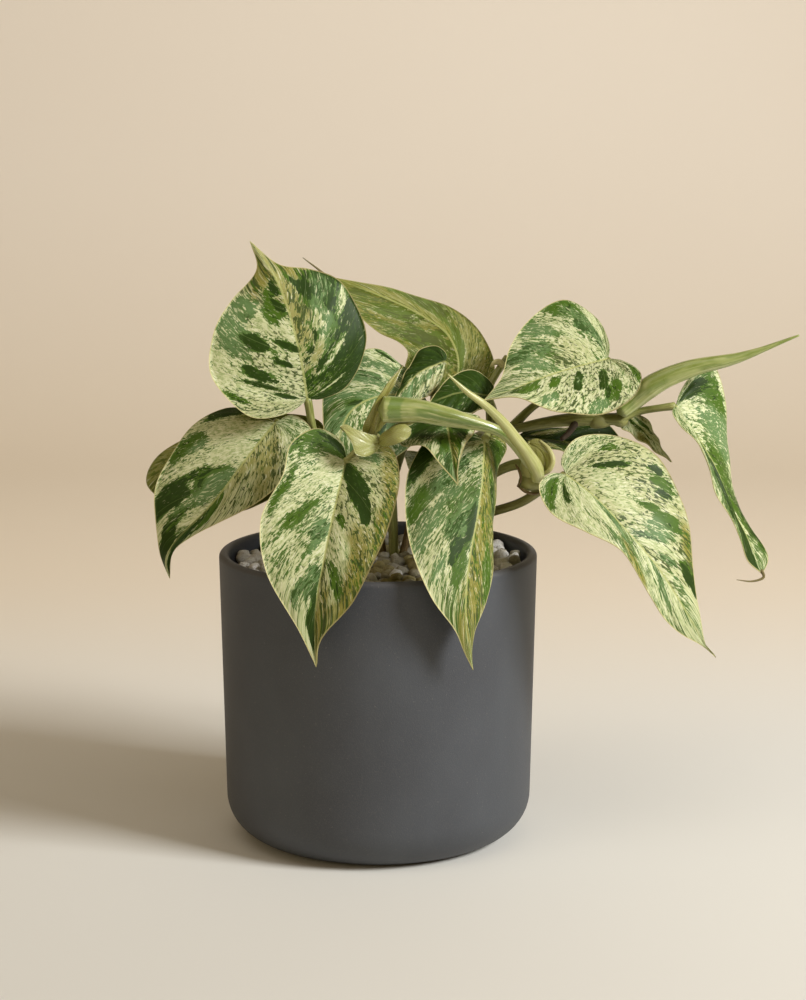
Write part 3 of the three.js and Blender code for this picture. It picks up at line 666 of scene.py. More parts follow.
# Each half of a blade has a ground mark, and patches: mark, share, out, reach of share, reach of out.
MARKINGS = {
    "leaf_upper_left": (
        ("flecked", [
            ("celadon", 0.61, 0.78, 0.11, 0.26), ("celadon", 0.72, 0.6, 0.05, 0.2),
            ("cream", 0.66, 0.42, 0.05, 0.12), ("cream", 0.46, 0.85, 0.07, 0.3),
            ("cream", 0.38, 0.7, 0.03, 0.3), ("pale", 0.2, 0.5, 0.12, 0.6),
            ("olive", 0.85, 0.5, 0.1, 0.6), ("green", 0.72, 0.28, 0.07, 0.14),
            ("dark", 0.575, 0.5, 0.028, 0.2), ("dark", 0.452, 0.5, 0.027, 0.17),
            ("dark", 0.402, 0.52, 0.012, 0.16), ("dark", 0.335, 0.27, 0.014, 0.14),
            ("dark", 0.8, 0.15, 0.03, 0.1), ("dark", 0.73, 0.15, 0.02, 0.1),
            ("dark", 0.575, 0.14, 0.014, 0.16), ("green", 0.335, 0.9, 0.035, 0.1),
            ("dark", 0.5, 0.18, 0.012, 0.1),
        ]),
        ("rayed", [
            ("dark", 0.32, 0.88, 0.2, 0.24), ("celadon", 0.58, 0.46, 0.09, 0.16),
            # The dark patches at shares 0.73, 0.65, 0.58 and 0.5, running in towards the midrib, are
            # painted shade in the crease of a fold.
            ("cream", 0.6, 0.4, 0.05, 0.07), ("dark", 0.73, 0.52, 0.07, 0.14),
            ("dark", 0.65, 0.32, 0.06, 0.1), ("dark", 0.58, 0.22, 0.06, 0.09),
            ("dark", 0.5, 0.14, 0.07, 0.08), ("slate", 0.66, 0.8, 0.05, 0.2),
            ("cream", 0.56, 0.84, 0.02, 0.14), ("cream", 0.42, 0.45, 0.012, 0.3),
            ("dark", 0.12, 0.6, 0.06, 0.5), ("cream", 0.24, 0.4, 0.012, 0.3),
            ("tan", 0.78, 0.14, 0.34, 0.26), ("tan", 0.9, 0.45, 0.1, 0.4),
            ("olive", 0.86, 0.9, 0.1, 0.4),
        ]),
    ),
    "leaf_top_back": (
        ("olive", [
            ("tan", 0.35, 0.6, 0.12, 0.4), ("rayed", 0.62, 0.8, 0.1, 0.3),
            ("tan", 0.75, 0.3, 0.15, 0.3), ("green", 0.45, 0.3, 0.06, 0.3),
        ]),
        ("olive", [
            ("rayed", 0.55, 0.4, 0.08, 0.4), ("green", 0.72, 0.3, 0.06, 0.3),
            ("rayed", 0.35, 0.5, 0.1, 0.4),
        ]),
    ),
    "leaf_left": (
        ("pale", [
            ("streaky", 0.2, 0.5, 0.15, 0.6), ("tan", 0.5, 0.4, 0.15, 0.6),
            ("green", 0.72, 0.3, 0.05, 0.4), ("dark", 0.88, 0.5, 0.1, 0.7),
            ("flecked", 0.62, 0.7, 0.1, 0.4),
        ]),
        ("cream", [
            ("dark", 0.22, 0.75, 0.09, 0.32), ("olive", 0.2, 0.25, 0.12, 0.28),
            ("cream", 0.38, 0.55, 0.05, 0.45), ("green", 0.47, 0.84, 0.06, 0.17),
            ("celadon", 0.47, 0.7, 0.03, 0.1), ("cream", 0.51, 0.4, 0.05, 0.35),
            ("celadon", 0.64, 0.15, 0.08, 0.2), ("rayed", 0.6, 0.5, 0.03, 0.4),
            ("dark", 0.7, 0.8, 0.06, 0.4), ("celadon", 0.74, 0.4, 0.035, 0.3),
            ("rayed", 0.82, 0.5, 0.08, 0.4), ("dark", 0.93, 0.6, 0.08, 0.6),
            ("cream", 0.77, 0.15, 0.04, 0.25), ("streaky", 0.6, 0.95, 0.05, 0.1),
        ]),
    ),
    "leaf_left_behind": (
        ("olive", [("tan", 0.8, 0.8, 0.2, 0.4), ("dark", 0.3, 0.5, 0.1, 0.5)]),
        ("olive", [("veined", 0.4, 0.5, 0.2, 0.5), ("tan", 0.7, 0.5, 0.1, 0.5)]),
    ),
    "leaf_front_left": (
        ("pale", [
            ("olive", 0.1, 0.6, 0.08, 0.6), ("celadon", 0.22, 0.6, 0.045, 0.28),
            ("cream", 0.3, 0.4, 0.03, 0.3), ("tan", 0.3, 0.85, 0.1, 0.2), ("tan", 0.62, 0.7, 0.15, 0.3),
            ("dark", 0.38, 0.14, 0.06, 0.18), ("dark", 0.42, 0.34, 0.055, 0.22),
            ("dark", 0.475, 0.55, 0.04, 0.18), ("olive", 0.45, 0.9, 0.2, 0.12),
            ("green", 0.56, 0.18, 0.02, 0.12), ("olive", 0.72, 0.8, 0.12, 0.35),
            ("cream", 0.66, 0.3, 0.06, 0.3), ("green", 0.73, 0.4, 0.03, 0.25),
            ("olive", 0.9, 0.5, 0.1, 0.6),
        ]),
        ("cream", [
            ("green", 0.17, 0.6, 0.1, 0.7), ("dark", 0.07, 0.45, 0.06, 0.4),
            ("streaky", 0.36, 0.75, 0.06, 0.3), ("green", 0.42, 0.88, 0.06, 0.08),
            ("streaky", 0.45, 0.35, 0.05, 0.3), ("green", 0.535, 0.55, 0.03, 0.25),
            ("slate", 0.62, 0.28, 0.05, 0.28), ("streaky", 0.66, 0.6, 0.08, 0.3),
            ("slate", 0.76, 0.2, 0.06, 0.26), ("slate", 0.77, 0.6, 0.03, 0.2),
            ("dark", 0.88, 0.25, 0.07, 0.3), ("streaky", 0.58, 0.85, 0.03, 0.15),
        ]),
    ),
    "leaf_front_centre": (
        ("olive", [
            ("green", 0.2, 0.6, 0.08, 0.4), ("rayed", 0.45, 0.7, 0.05, 0.3),
            ("green", 0.7, 0.8, 0.05, 0.3),
        ]),
        ("streaky", [
            ("dark", 0.26, 0.88, 0.1, 0.26), ("dark", 0.08, 0.5, 0.05, 0.5),
            ("slate", 0.2, 0.35, 0.06, 0.3), ("cream", 0.335, 0.45, 0.03, 0.4),
            ("slate", 0.405, 0.42, 0.035, 0.34), ("green", 0.45, 0.82, 0.04, 0.14),
            ("celadon", 0.5, 0.6, 0.03, 0.3), ("slate", 0.58, 0.25, 0.06, 0.25),
            ("veined", 0.66, 0.34, 0.035, 0.16), ("dark", 0.62, 0.08, 0.06, 0.08),
            ("cream", 0.66, 0.85, 0.1, 0.2), ("celadon", 0.56, 0.75, 0.03, 0.25),
            ("celadon", 0.68, 0.7, 0.02, 0.2), ("green", 0.72, 0.25, 0.05, 0.2),
            ("olive", 0.9, 0.5, 0.1, 0.6),
        ]),
    ),
    "leaf_centre": (
        ("celadon", [
            ("slate", 0.4, 0.5, 0.15, 0.4), ("dark", 0.62, 0.5, 0.04, 0.16),
            ("streaky", 0.75, 0.3, 0.1, 0.3), ("cream", 0.85, 0.8, 0.05, 0.2),
            ("streaky", 0.55, 0.8, 0.05, 0.3),
        ]),
        ("celadon", [
            ("cream", 0.34, 0.8, 0.05, 0.25), ("dark", 0.31, 0.85, 0.015, 0.12),
            ("cream", 0.43, 0.5, 0.02, 0.5), ("slate", 0.5, 0.7, 0.04, 0.3),
            ("streaky", 0.58, 0.5, 0.04, 0.5), ("dark", 0.6, 0.9, 0.03, 0.1),
            ("streaky", 0.72, 0.6, 0.05, 0.4), ("dark", 0.68, 0.12, 0.03, 0.14),
            ("slate", 0.8, 0.5, 0.06, 0.4), ("slate", 0.25, 0.3, 0.1, 0.3),
            ("cream", 0.9, 0.4, 0.05, 0.5),
        ]),
    ),
    "leaf_centre_folded": (
        ("flecked", [
            ("celadon", 0.5, 0.3, 0.2, 0.2), ("pale", 0.4, 0.7, 0.2, 0.3),
            ("celadon", 0.8, 0.5, 0.1, 0.4),
        ]),
        ("dark", [("streaky", 0.75, 0.2, 0.08, 0.2), ("veined", 0.9, 0.5, 0.1, 0.6)]),
    ),
    "leaf_centre_dark": (
        ("dark", [("veined", 0.6, 0.5, 0.1, 0.4), ("cream", 0.6, 0.97, 0.5, 0.06)]),
        ("dark", [("veined", 0.6, 0.3, 0.06, 0.4)]),
    ),
    "leaf_small_pointed": (
        ("green", [
            ("dark", 0.45, 0.35, 0.1, 0.4), ("cream", 0.6, 0.95, 0.4, 0.14),
            ("olive", 0.75, 0.4, 0.1, 0.3),
        ]),
        ("slate", [
            ("dark", 0.42, 0.45, 0.12, 0.35), ("streaky", 0.5, 0.9, 0.15, 0.2),
            ("streaky", 0.7, 0.75, 0.12, 0.3), ("tan", 0.3, 0.75, 0.05, 0.2),
            ("green", 0.65, 0.2, 0.1, 0.25),
        ]),
    ),
    "leaf_upper_right": (
        ("flecked", [
            ("dark", 0.562, 0.33, 0.022, 0.2), ("slate", 0.562, 0.33, 0.01, 0.1),
            ("dark", 0.44, 0.45, 0.025, 0.18), ("green", 0.4, 0.7, 0.04, 0.18),
            ("dark", 0.45, 0.7, 0.015, 0.12), ("green", 0.68, 0.25, 0.03, 0.14),
            ("green", 0.84, 0.3, 0.08, 0.4), ("celadon", 0.72, 0.72, 0.04, 0.2),
            ("celadon", 0.52, 0.86, 0.05, 0.12), ("green", 0.2, 0.8, 0.05, 0.2),
            ("streaky", 0.3, 0.5, 0.05, 0.4),
        ]),
        ("streaky", [
            ("green", 0.34, 0.86, 0.06, 0.18), ("slate", 0.3, 0.5, 0.06, 0.3),
            ("pale", 0.45, 0.25, 0.08, 0.25), ("celadon", 0.5, 0.76, 0.05, 0.22),
            ("slate", 0.6, 0.62, 0.05, 0.22), ("celadon", 0.68, 0.4, 0.06, 0.3),
            ("cream", 0.22, 0.7, 0.05, 0.25), ("cream", 0.64, 0.9, 0.03, 0.1),
            ("slate", 0.7, 0.75, 0.04, 0.2), ("cream", 0.42, 0.55, 0.03, 0.2),
            ("streaky", 0.85, 0.5, 0.08, 0.5), ("pale", 0.55, 0.15, 0.06, 0.2),
        ]),
    ),
    "leaf_lower_right": (
        ("pale", [
            ("streaky", 0.12, 0.5, 0.1, 0.5), ("dark", 0.352, 0.45, 0.018, 0.17),
            ("dark", 0.42, 0.86, 0.02, 0.08), ("green", 0.27, 0.7, 0.03, 0.12),
            ("dark", 0.5, 0.75, 0.014, 0.1), ("green", 0.5, 0.38, 0.014, 0.08),
            ("green", 0.47, 0.84, 0.03, 0.12), ("cream", 0.45, 0.25, 0.1, 0.2),
            ("green", 0.53, 0.5, 0.016, 0.12), ("green", 0.59, 0.68, 0.03, 0.2),
            ("slate", 0.62, 0.24, 0.02, 0.26), ("cream", 0.655, 0.3, 0.02, 0.3),
            ("slate", 0.7, 0.35, 0.016, 0.16), ("dark", 0.745, 0.8, 0.045, 0.2),
            ("celadon", 0.8, 0.35, 0.05, 0.25), ("olive", 0.65, 0.9, 0.08, 0.12),
            ("celadon", 0.6, 0.45, 0.03, 0.2), ("streaky", 0.87, 0.5, 0.08, 0.6),
        ]),
        ("streaky", [
            ("cream", 0.3, 0.8, 0.12, 0.3), ("dark", 0.27, 0.42, 0.02, 0.2),
            ("green", 0.16, 0.6, 0.05, 0.3), ("cream", 0.4, 0.3, 0.06, 0.3),
            ("slate", 0.5, 0.25, 0.03, 0.3), ("olive", 0.56, 0.85, 0.06, 0.3),
            ("slate", 0.72, 0.3, 0.05, 0.3), ("cream", 0.66, 0.2, 0.03, 0.25),
            ("cream", 0.84, 0.5, 0.06, 0.5),
        ]),
    ),
    "leaf_far_right": (
        ("streaky", [
            ("dark", 0.24, 0.42, 0.08, 0.3), ("green", 0.36, 0.8, 0.1, 0.3),
            ("cream", 0.3, 0.96, 0.2, 0.06), ("cream", 0.36, 0.2, 0.05, 0.2),
            ("celadon", 0.5, 0.7, 0.1, 0.4), ("green", 0.6, 0.3, 0.06, 0.3),
            ("rayed", 0.8, 0.6, 0.12, 0.5), ("green", 0.72, 0.2, 0.08, 0.3),
        ]),
        ("streaky", [
            ("cream", 0.3, 0.6, 0.08, 0.4), ("green", 0.45, 0.4, 0.08, 0.3),
            ("rayed", 0.6, 0.5, 0.08, 0.5), ("dark", 0.84, 0.5, 0.12, 0.7),
        ]),
    ),
    "leaf_narrow_right": (
        ("cream", [("green", 0.5, 0.4, 0.1, 0.25), ("olive", 0.3, 0.6, 0.1, 0.3)]),
        ("cream", [("green", 0.4, 0.2, 0.3, 0.2), ("olive", 0.6, 0.8, 0.1, 0.3)]),
    ),
    "leaf_under_vine": (
        ("veined", [
            ("tan", 0.45, 0.5, 0.08, 0.4), ("dark", 0.65, 0.8, 0.1, 0.3),
            ("olive", 0.85, 0.5, 0.1, 0.5),
        ]),
        ("rayed", [("tan", 0.35, 0.6, 0.1, 0.3), ("streaky", 0.7, 0.5, 0.12, 0.5)]),
    ),
    "leaf_back_left": (
        ("streaky", [
            ("dark", 0.4, 0.5, 0.07, 0.3), ("celadon", 0.6, 0.7, 0.08, 0.3),
            ("cream", 0.3, 0.8, 0.06, 0.3),
        ]),
        ("flecked", [
            ("dark", 0.55, 0.4, 0.05, 0.3), ("green", 0.3, 0.6, 0.1, 0.4),
            ("celadon", 0.75, 0.5, 0.08, 0.3),
        ]),
    ),
    "leaf_back_right": (
        ("flecked", [
            ("green", 0.35, 0.6, 0.1, 0.3), ("dark", 0.6, 0.35, 0.05, 0.3),
            ("celadon", 0.5, 0.8, 0.06, 0.2),
        ]),
        ("veined", [
            ("cream", 0.4, 0.6, 0.06, 0.4), ("dark", 0.3, 0.8, 0.1, 0.3),
            ("streaky", 0.7, 0.5, 0.1, 0.5),
        ]),
    ),
}

# A patch is whole up to PATCH_END less PATCH_FADE times its reach, and gone at PATCH_END times it
PATCH_RAGGEDNESS, PATCH_END, PATCH_FADE = 0.5, 1.45, 0.9


def marked(name, along, out, half):
    """The six amounts that the marks bring, at places on a blade given by share, reach and half."""
    amounts = np.zeros((len(along), 6))
    places = zip(along * 14, out * 5, half * 9)
    ragged = np.array([noise.fractal(Vector(place), 1.0, 2.0, 3) for place in places])
    for side, (ground, patches) in enumerate(MARKINGS[name]):
        here = np.tile(np.array(MARKS[ground], float), (len(along), 1))
        for mark, share, reach, share_reach, out_reach in patches:
            ahead = (along - swept(out)) - (share - swept(reach))
            off = np.hypot(ahead / share_reach, (out - reach) / out_reach) + PATCH_RAGGEDNESS * ragged
            weight = np.clip((PATCH_END - off) / PATCH_FADE, 0, 1)[:, None]
            here += (np.array(MARKS[mark]) - here) * weight**2 * (3 - 2 * weight)
        amounts[half == side] = here[half == side]
    return amounts


# Finishes


class Value:
    """A number on a surface, which can be worked with like a number in a formula."""

    def __init__(self, finish, socket):
        self.finish, self.socket = finish, socket

    def _math(self, operation, *values):
        return self.finish.node("ShaderNodeMath", {"operation": operation}, *values)

    def __add__(self, other):
        return self._math("ADD", self, other)

    def __sub__(self, other):
        return self._math("SUBTRACT", self, other)

    def __rsub__(self, other):
        return self._math("SUBTRACT", other, self)

    def __mul__(self, other):
        return self._math("MULTIPLY", self, other)

    def __truediv__(self, other):
        return self._math("DIVIDE", self, other)

    def __mod__(self, other):
        return self._math("FLOORED_MODULO", self, other)

    def __abs__(self):
        return self._math("ABSOLUTE", self)

    __radd__ = __add__
    __rmul__ = __mul__

    def rise(self, low, high):
        """0 below low, 1 above high and smooth between them; falls if low is the larger."""
        settings = {"interpolation_type": "SMOOTHSTEP"}
        if low < high:
            return self.finish.node("ShaderNodeMapRange", settings, self, low, high)
        return 1 - self.finish.node("ShaderNodeMapRange", settings, self, high, low)


class Nodes:
    """A tree of nodes, with one way to make a node and one way to fill a socket."""

    def __init__(self, tree):
        self.tree = tree

    def put(self, value, socket):
        """Links a value to the socket, or sets the socket to a number or a colour."""
        if isinstance(value, Value):
            self.tree.links.new(value.socket, socket)
        elif isinstance(value, (tuple, list)) and len(socket.default_value) > len(value):
            socket.default_value = (*value, 1)
        else:
            socket.default_value = value

    def node(self, kind, settings, *values, output=0, sockets=None, **named):
        """A node of this kind: its settings first, then its sockets in order, by number or by name."""
        node = self.tree.nodes.new(kind)
        for key, setting in settings.items():
            setattr(node, key, setting)
        for number, value in zip(sockets or range(len(values)), values):
            self.put(value, node.inputs[number])
        for key, value in named.items():
            self.put(value, node.inputs[key.replace("_", " ")])
        return Value(self, node.outputs[output])


class Finish(Nodes):
    """A material made of nodes, with the few steps that all the plant's finishes share."""

    def __init__(self, name):
        self.material = bpy.data.materials.new(name)
        self.material.use_nodes = True
        super().__init__(self.material.node_tree)
        self.shader = self.tree.nodes["Principled BSDF"]

    def mix(self, share, a, b):
        """Colour a, with this share of colour b in it."""
        settings = {"data_type": "RGBA"}
        return self.node("ShaderNodeMix", settings, share, a, b, sockets=(0, 6, 7), output=2)

    def split(self, vector):
        """The three numbers of a vector."""
        return [self.node("ShaderNodeSeparateXYZ", {}, vector, output=k) for k in range(3)]

    def mapped(self, name):
        """Across and along, in the map of this name."""
        return self.split(self.node("ShaderNodeUVMap", {"uv_map": name}))[:2]

    def circle(self, turn):
        """Sine and cosine of a share of a full turn, so that a tube shows no seam."""
        angle = turn * (2 * math.pi)
        return [self.node("ShaderNodeMath", {"operation": wave}, angle) for wave in ("SINE", "COSINE")]

    def known(self, name):
        """The three numbers that a piece carries on its points under this name."""
        return self.split(self.node("ShaderNodeAttribute", {"attribute_name": name}, output=1))

    def spots(self, place, detail=2.0, roughness=0.5, seed=0.0, swirl=0.0):
        """Noise round 0.5 at a place of three numbers, stretched to fill 0 to 1."""
        x, y, z = place
        vector = self.node("ShaderNodeCombineXYZ", {}, x, y, z + seed)
        grain = self.node("ShaderNodeTexNoise", {}, Vector=vector, Scale=1.0, Detail=detail,
                          Roughness=roughness, Distortion=swirl)
        return (grain - 0.5) * 2.3 + 0.5

    def object_place(self, size):
        """The place on the piece, in steps of this many millimetres."""
        at = self.split(self.node("ShaderNodeTexCoord", {}, output=3))
        return scaled(at, 1 / (size * MM))

    def finish(self, colour, roughness, height=None, depth=0.1, strength=1.0, **fixed):
        """Links the surface to the shader; height is in steps of depth millimetres."""
        self.put(colour, self.shader.inputs["Base Color"])
        self.put(roughness, self.shader.inputs["Roughness"])
        if height is not None:
            bump = self.node("ShaderNodeBump", {}, Strength=strength, Distance=depth * MM,
                             Height=height)
            self.put(bump, self.shader.inputs["Normal"])
        for key, value in fixed.items():
            self.put(value, self.shader.inputs[key.replace("_", " ")])
        return self.material


def scaled(place, *factors):
    """Three numbers times one factor, or each times its own."""
    return [axis * factor for axis, factor in zip(place, factors * (3 // len(factors)))]


def paint(*parts):
    """Red, green and blue as a screen shows them, 0 to 255, in the light values that shaders use."""
    return tuple(((part / 255 + 0.055) / 1.055) ** 2.4 if part > 10 else part / 255 / 12.92
                 for part in parts)


CREAM, TAN = paint(203, 207, 162), paint(139, 133, 62)
PALE_GREEN, MID_GREEN, CELADON = paint(130, 152, 84), paint(68, 98, 12), paint(100, 128, 76)
DARK_GREEN, SLATE_GREEN = paint(36, 58, 4), paint(58, 83, 34)
RIB, MARGIN, UNDERSIDE_AND_GLOW = paint(170, 174, 106), paint(196, 186, 130), paint(102, 106, 26)
VEIN_SPACING = 7.5


def marbled_blade():
    """Cream blade with green streaks that follow the veins, dark patches, flecks and a pale rib."""
    f = Finish("marbled_blade")
    u, v = f.mapped("vein")
    green, dark, cool = f.known("marking")
    tan, fleck, pale = f.known("wash")
    margin, under, along = f.known("place")
    wandering = v + 3.0 * (f.spots((u * 0.07, v * 0.07, 0.0), 2.0) - 0.5)

    def drawn_out(across, ahead, *grain):
        """Noise that is drawn out along the veins."""
        return f.spots((u * across, wandering * ahead, 0.0), *grain)

    broad = drawn_out(0.075, 0.18, 3.0, 0.55, 3.1, 0.5)
    streak = drawn_out(0.19, 0.5, 5.0, 0.62, 7.7, 0.7)
    fine = drawn_out(0.7, 1.3, 4.0, 0.62, 12.3, 0.7)
    crumbs = drawn_out(0.5, 0.78, 3.0, 0.5, 21.9, 0.8)
    specks = drawn_out(0.5, 1.7, 3.0, 0.55, 31.3, 0.6)

    swing = 0.3 * (broad - 0.5) + 0.75 * (streak - 0.5) + 0.85 * (fine - 0.5)
    is_green = (green + swing).rise(0.46, 0.56)
    dark_swing = 0.5 * (streak - 0.5) + 0.3 * (broad - 0.5) + 0.45 * (crumbs - 0.5)
    is_dark = (dark - dark_swing).rise(0.5, 0.57)
    is_fleck = (crumbs + 0.45 * (broad - 0.5) + 0.34 * fleck).rise(0.9, 0.98)
    is_speck = (specks + 0.2 * pale + 0.25 * (streak - 0.5)).rise(0.88, 0.98)

    ground = f.mix(tan, CREAM, TAN)
    mottle = (0.5 * fine + 0.5 * specks + 0.3 * (crumbs - 0.5)).rise(0.42, 0.66)
    ground = f.mix(mottle * 0.65, ground, f.mix(tan, PALE_GREEN, paint(118, 120, 56)))
    ground = f.mix((specks + 0.4 * (streak - 0.5)).rise(0.3, 0.1) * 0.6, ground, paint(224, 226, 196))
    leafy = f.mix(cool, MID_GREEN, CELADON)
    leafy = f.mix(fine.rise(0.3, 0.9) * 0.5, leafy, f.mix(cool, paint(62, 90, 24), paint(84, 112, 70)))
    deep = f.mix(cool, DARK_GREEN, SLATE_GREEN)
    deep = f.mix(crumbs.rise(0.5, 1.0) * 0.4, deep, f.mix(cool, paint(66, 94, 28), paint(84, 110, 74)))
    colour = f.mix(is_green, ground, leafy)
    colour = f.mix(is_dark, colour, deep)
    colour = f.mix(is_fleck * (0.4 + 0.6 * fleck), colour, paint(58, 74, 28))
    colour = f.mix(is_speck * (0.25 + 0.5 * pale), colour, CREAM)
    lane = abs((v / VEIN_SPACING) % 1.0 - 0.5)
    vein = lane.rise(0.475, 0.5) * u.rise(0.5, 2.0) * margin.rise(0.4, 2.0)
    colour = f.mix(vein * 0.28, colour, PALE_GREEN)
    rib = u.rise(0.7, 0.25) * along.rise(0.995, 0.8)
    colour = f.mix(rib * (0.75 - 0.45 * is_dark), colour, RIB)
    edge = margin.rise(0.55, 0.3) * along.rise(0.02, 0.12)
    colour = f.mix(edge * 0.75, colour, MARGIN)
    # Undersides are duller and more olive, and their yellow-olive also stands in for a painted glow of
    # light shining through the blade.
    dull_and_glowing = f.mix(0.42, colour, UNDERSIDE_AND_GLOW)
    colour = f.mix(under, colour, dull_and_glowing)
    height = 0.9 * vein.rise(0.0, 1.0) + 0.35 * fine + 0.6 * broad
    rough = 0.5 + 0.1 * (fine - 0.5) + 0.1 * under
    return f.finish(colour, rough, height, 0.12, 0.6, Subsurface_Weight=0.06, Subsurface_Scale=0.002,
                    Subsurface_Radius=(0.6, 1.0, 0.25), IOR=1.36, Specular_IOR_Level=0.35)


def green_stem():
    """Smooth stem skin: pale green with long streaks, browner where it is old."""
    f = Finish("green_stem")
    turn, length = f.mapped("along")
    age, warm, _ = f.known("tone")
    place = (*f.circle(turn), length)
    long_streak = f.spots(scaled(place, 1.6, 1.6, 0.06), 3.0, 0.6, 2.0)
    speck = f.spots(scaled(place, 3, 3, 0.45), 3.0, 0.6, 9.0)
    young = f.mix(long_streak.rise(0.35, 0.75), paint(122, 130, 60), paint(162, 166, 98))
    young = f.mix(speck.rise(0.62, 0.8) * 0.5, young, paint(88, 102, 40))
    old = f.mix(speck, paint(80, 62, 34), paint(128, 108, 66))
    colour = f.mix(age, young, old)
    colour = f.mix(age.rise(1.05, 1.3), colour, paint(58, 42, 22))
    colour = f.mix(warm, colour, f.mix(speck, paint(206, 200, 148), paint(188, 178, 116)))
    height = 0.7 * long_streak + 0.3 * speck
    return f.finish(colour, 0.42 + 0.25 * age, height, 0.2, 0.6, Subsurface_Weight=0.05,
                    Subsurface_Scale=0.002, Subsurface_Radius=(0.6, 1.0, 0.3))


def rolled_bud():
    """Skin of the rolled young leaves: glossy pale green with green and cream bands and long fine
    lines, and a pale stripe along the top of the banded ones that is a painted highlight.
    """
    f = Finish("rolled_bud")
    turn, length = f.mapped("along")
    band, olive, pale = f.known("tone")
    sine, cosine = f.circle(turn)
    line = f.spots(scaled((sine, cosine, length), 3.2, 3.2, 0.05), 4.0, 0.65, 5.0)
    cloud = f.spots(scaled((sine, cosine, length), 0.9, 0.9, 0.09), 2.0, 0.5, 8.0)
    colour = f.mix(cloud.rise(0.3, 0.8), paint(126, 140, 70), paint(168, 174, 108))
    colour = f.mix(line.rise(0.45, 0.9) * 0.6, colour, paint(190, 194, 138))
    uneven = length + 1.6 * (line - 0.5) + 1.2 * cosine
    side = sine + 1.1 * (line - 0.5)
    collar = uneven.rise(2.6, 3.2) * uneven.rise(8.6, 7.4)
    stripe = side.rise(-0.55, -0.2) * side.rise(0.5, 0.15) * uneven.rise(11, 15)
    green = f.mix(line, paint(84, 112, 40), paint(106, 132, 58))
    colour = f.mix((collar + stripe) * band, colour, green)
    # Painted highlight: a pale stripe along the top of the banded tubes, where the light catches them.
    colour = f.mix(side.rise(0.5, 0.85) * band * 0.7, colour, paint(204, 208, 162))
    colour = f.mix(olive, colour, f.mix(line, paint(112, 110, 34), paint(158, 156, 80)))
    colour = f.mix(pale, colour, f.mix(line, paint(164, 162, 92), paint(204, 200, 142)))
    return f.finish(colour, 0.24 + 0.12 * cloud, line, 0.12, 0.4, Coat_Weight=0.35, Coat_Roughness=0.18,
                    Subsurface_Weight=0.08, Subsurface_Scale=0.003, Subsurface_Radius=(0.6, 1.0, 0.3))


def charcoal_pot():
    """Matte charcoal glaze: a fine tooth, faint clouds, a few lighter scuffs, and a lighter band round
    the top of the rim that is a painted highlight.
    """
    f = Finish("charcoal_pot")
    place = f.object_place(1.0)
    cloud = f.spots(scaled(place, 0.03, 0.03, 0.02), 3.0, 0.55)
    tooth = f.spots(scaled(place, 2.4), 2.0, 0.6)
    dust = f.spots(scaled(place, 0.9), 4.0, 0.7, 40.0)
    colour = f.mix(cloud, paint(58, 61, 66), paint(68, 72, 77))
    colour = f.mix(tooth.rise(0.4, 1.0) * 0.35, colour, paint(92, 90, 87))
    colour = f.mix(dust.rise(0.86, 0.96) * 0.4, colour, paint(122, 116, 108))
    # Painted highlight: the rounded top of the rim is lighter all round.
    rim = place[2].rise(POT_HEIGHT - 2.5, POT_HEIGHT - 0.4)
    colour = f.mix(rim * 0.35, colour, paint(96, 92, 86))
    return f.finish(colour, 0.52 + 0.12 * tooth, tooth + 0.6 * dust, 0.06, 0.5)


def pumice():
    """Pumice stones: white, grey and tan lumps with darker open pores, and painted shade that darkens
    them low down in the gaps between them.
    """
    f = Finish("pumice")
    tone, warm, seed = f.known("tone")
    x, y, z = f.object_place(1.0)
    pores = f.spots((x * 1.5 + seed, y * 1.5, z * 1.5), 4.0, 0.65)
    cloud = f.spots((x * 0.4 + seed, y * 0.4, z * 0.4), 2.0, 0.5)
    light = f.mix(cloud, paint(255, 254, 250), paint(244, 240, 228))
    grey = f.mix(cloud, paint(196, 190, 172), paint(158, 152, 130))
    brown = f.mix(cloud, paint(186, 174, 120), paint(146, 134, 86))
    colour = f.mix(tone.rise(0.45, 0.5), light, grey)
    colour = f.mix(tone.rise(0.68, 0.72) * warm.rise(0.1, 0.3), colour, brown)
    colour = f.mix(pores.rise(0.38, 0.15) * 0.3, colour, paint(120, 108, 88))
    # Painted shade: below 110 mm the stones darken towards brown-black, as deep in the gaps between the
    # upper ones.
    colour = f.mix(z.rise(110.0, 106.0) * 0.75, colour, paint(60, 50, 36))
    return f.finish(colour, 0.9, pores, 0.5, 0.9)


def potting_soil():
    """Dark damp soil with fibres and small pale grains."""
    f = Finish("potting_soil")
    place = f.object_place(1.0)
    crumb = f.spots(scaled(place, 0.8), 5.0, 0.7)
    grain = f.spots(scaled(place, 2.6), 2.0, 0.5, 6.0)
    colour = f.mix(crumb, paint(40, 30, 20), paint(78, 60, 42))
    colour = f.mix(grain.rise(0.85, 0.95), colour, paint(140, 126, 100))
    return f.finish(colour, 0.95, crumb, 1.2, 1.0)


def studio_paper():
    """The pale seamless floor and backdrop: grey-white in front, turning warmer from a little behind
    the pot as a painted warm tint of light and shadow, and paler cream up the wall.
    """
    f = Finish("studio_paper")
    place = f.object_place(1000.0)
    cloud = f.spots(scaled(place, 1.3), 2.0, 0.5)
    # Painted warm light and shadow: the paper turns warmer from 0.05 to 0.55 m behind the pot, where
    # the pot's shadow falls.
    colour = f.mix(place[1].rise(0.05, 0.55), paint(225, 225, 218), paint(236, 225, 205))
    colour = f.mix(place[1].rise(0.9, 1.6), colour, paint(243, 236, 223))
    colour = f.mix(cloud * 0.12, colour, paint(210, 192, 166))
    return f.finish(colour, 0.92)


# Leaves, pot, soil and stones

blade_skin, stem_skin, bud_skin = marbled_blade(), green_stem(), rolled_bud()

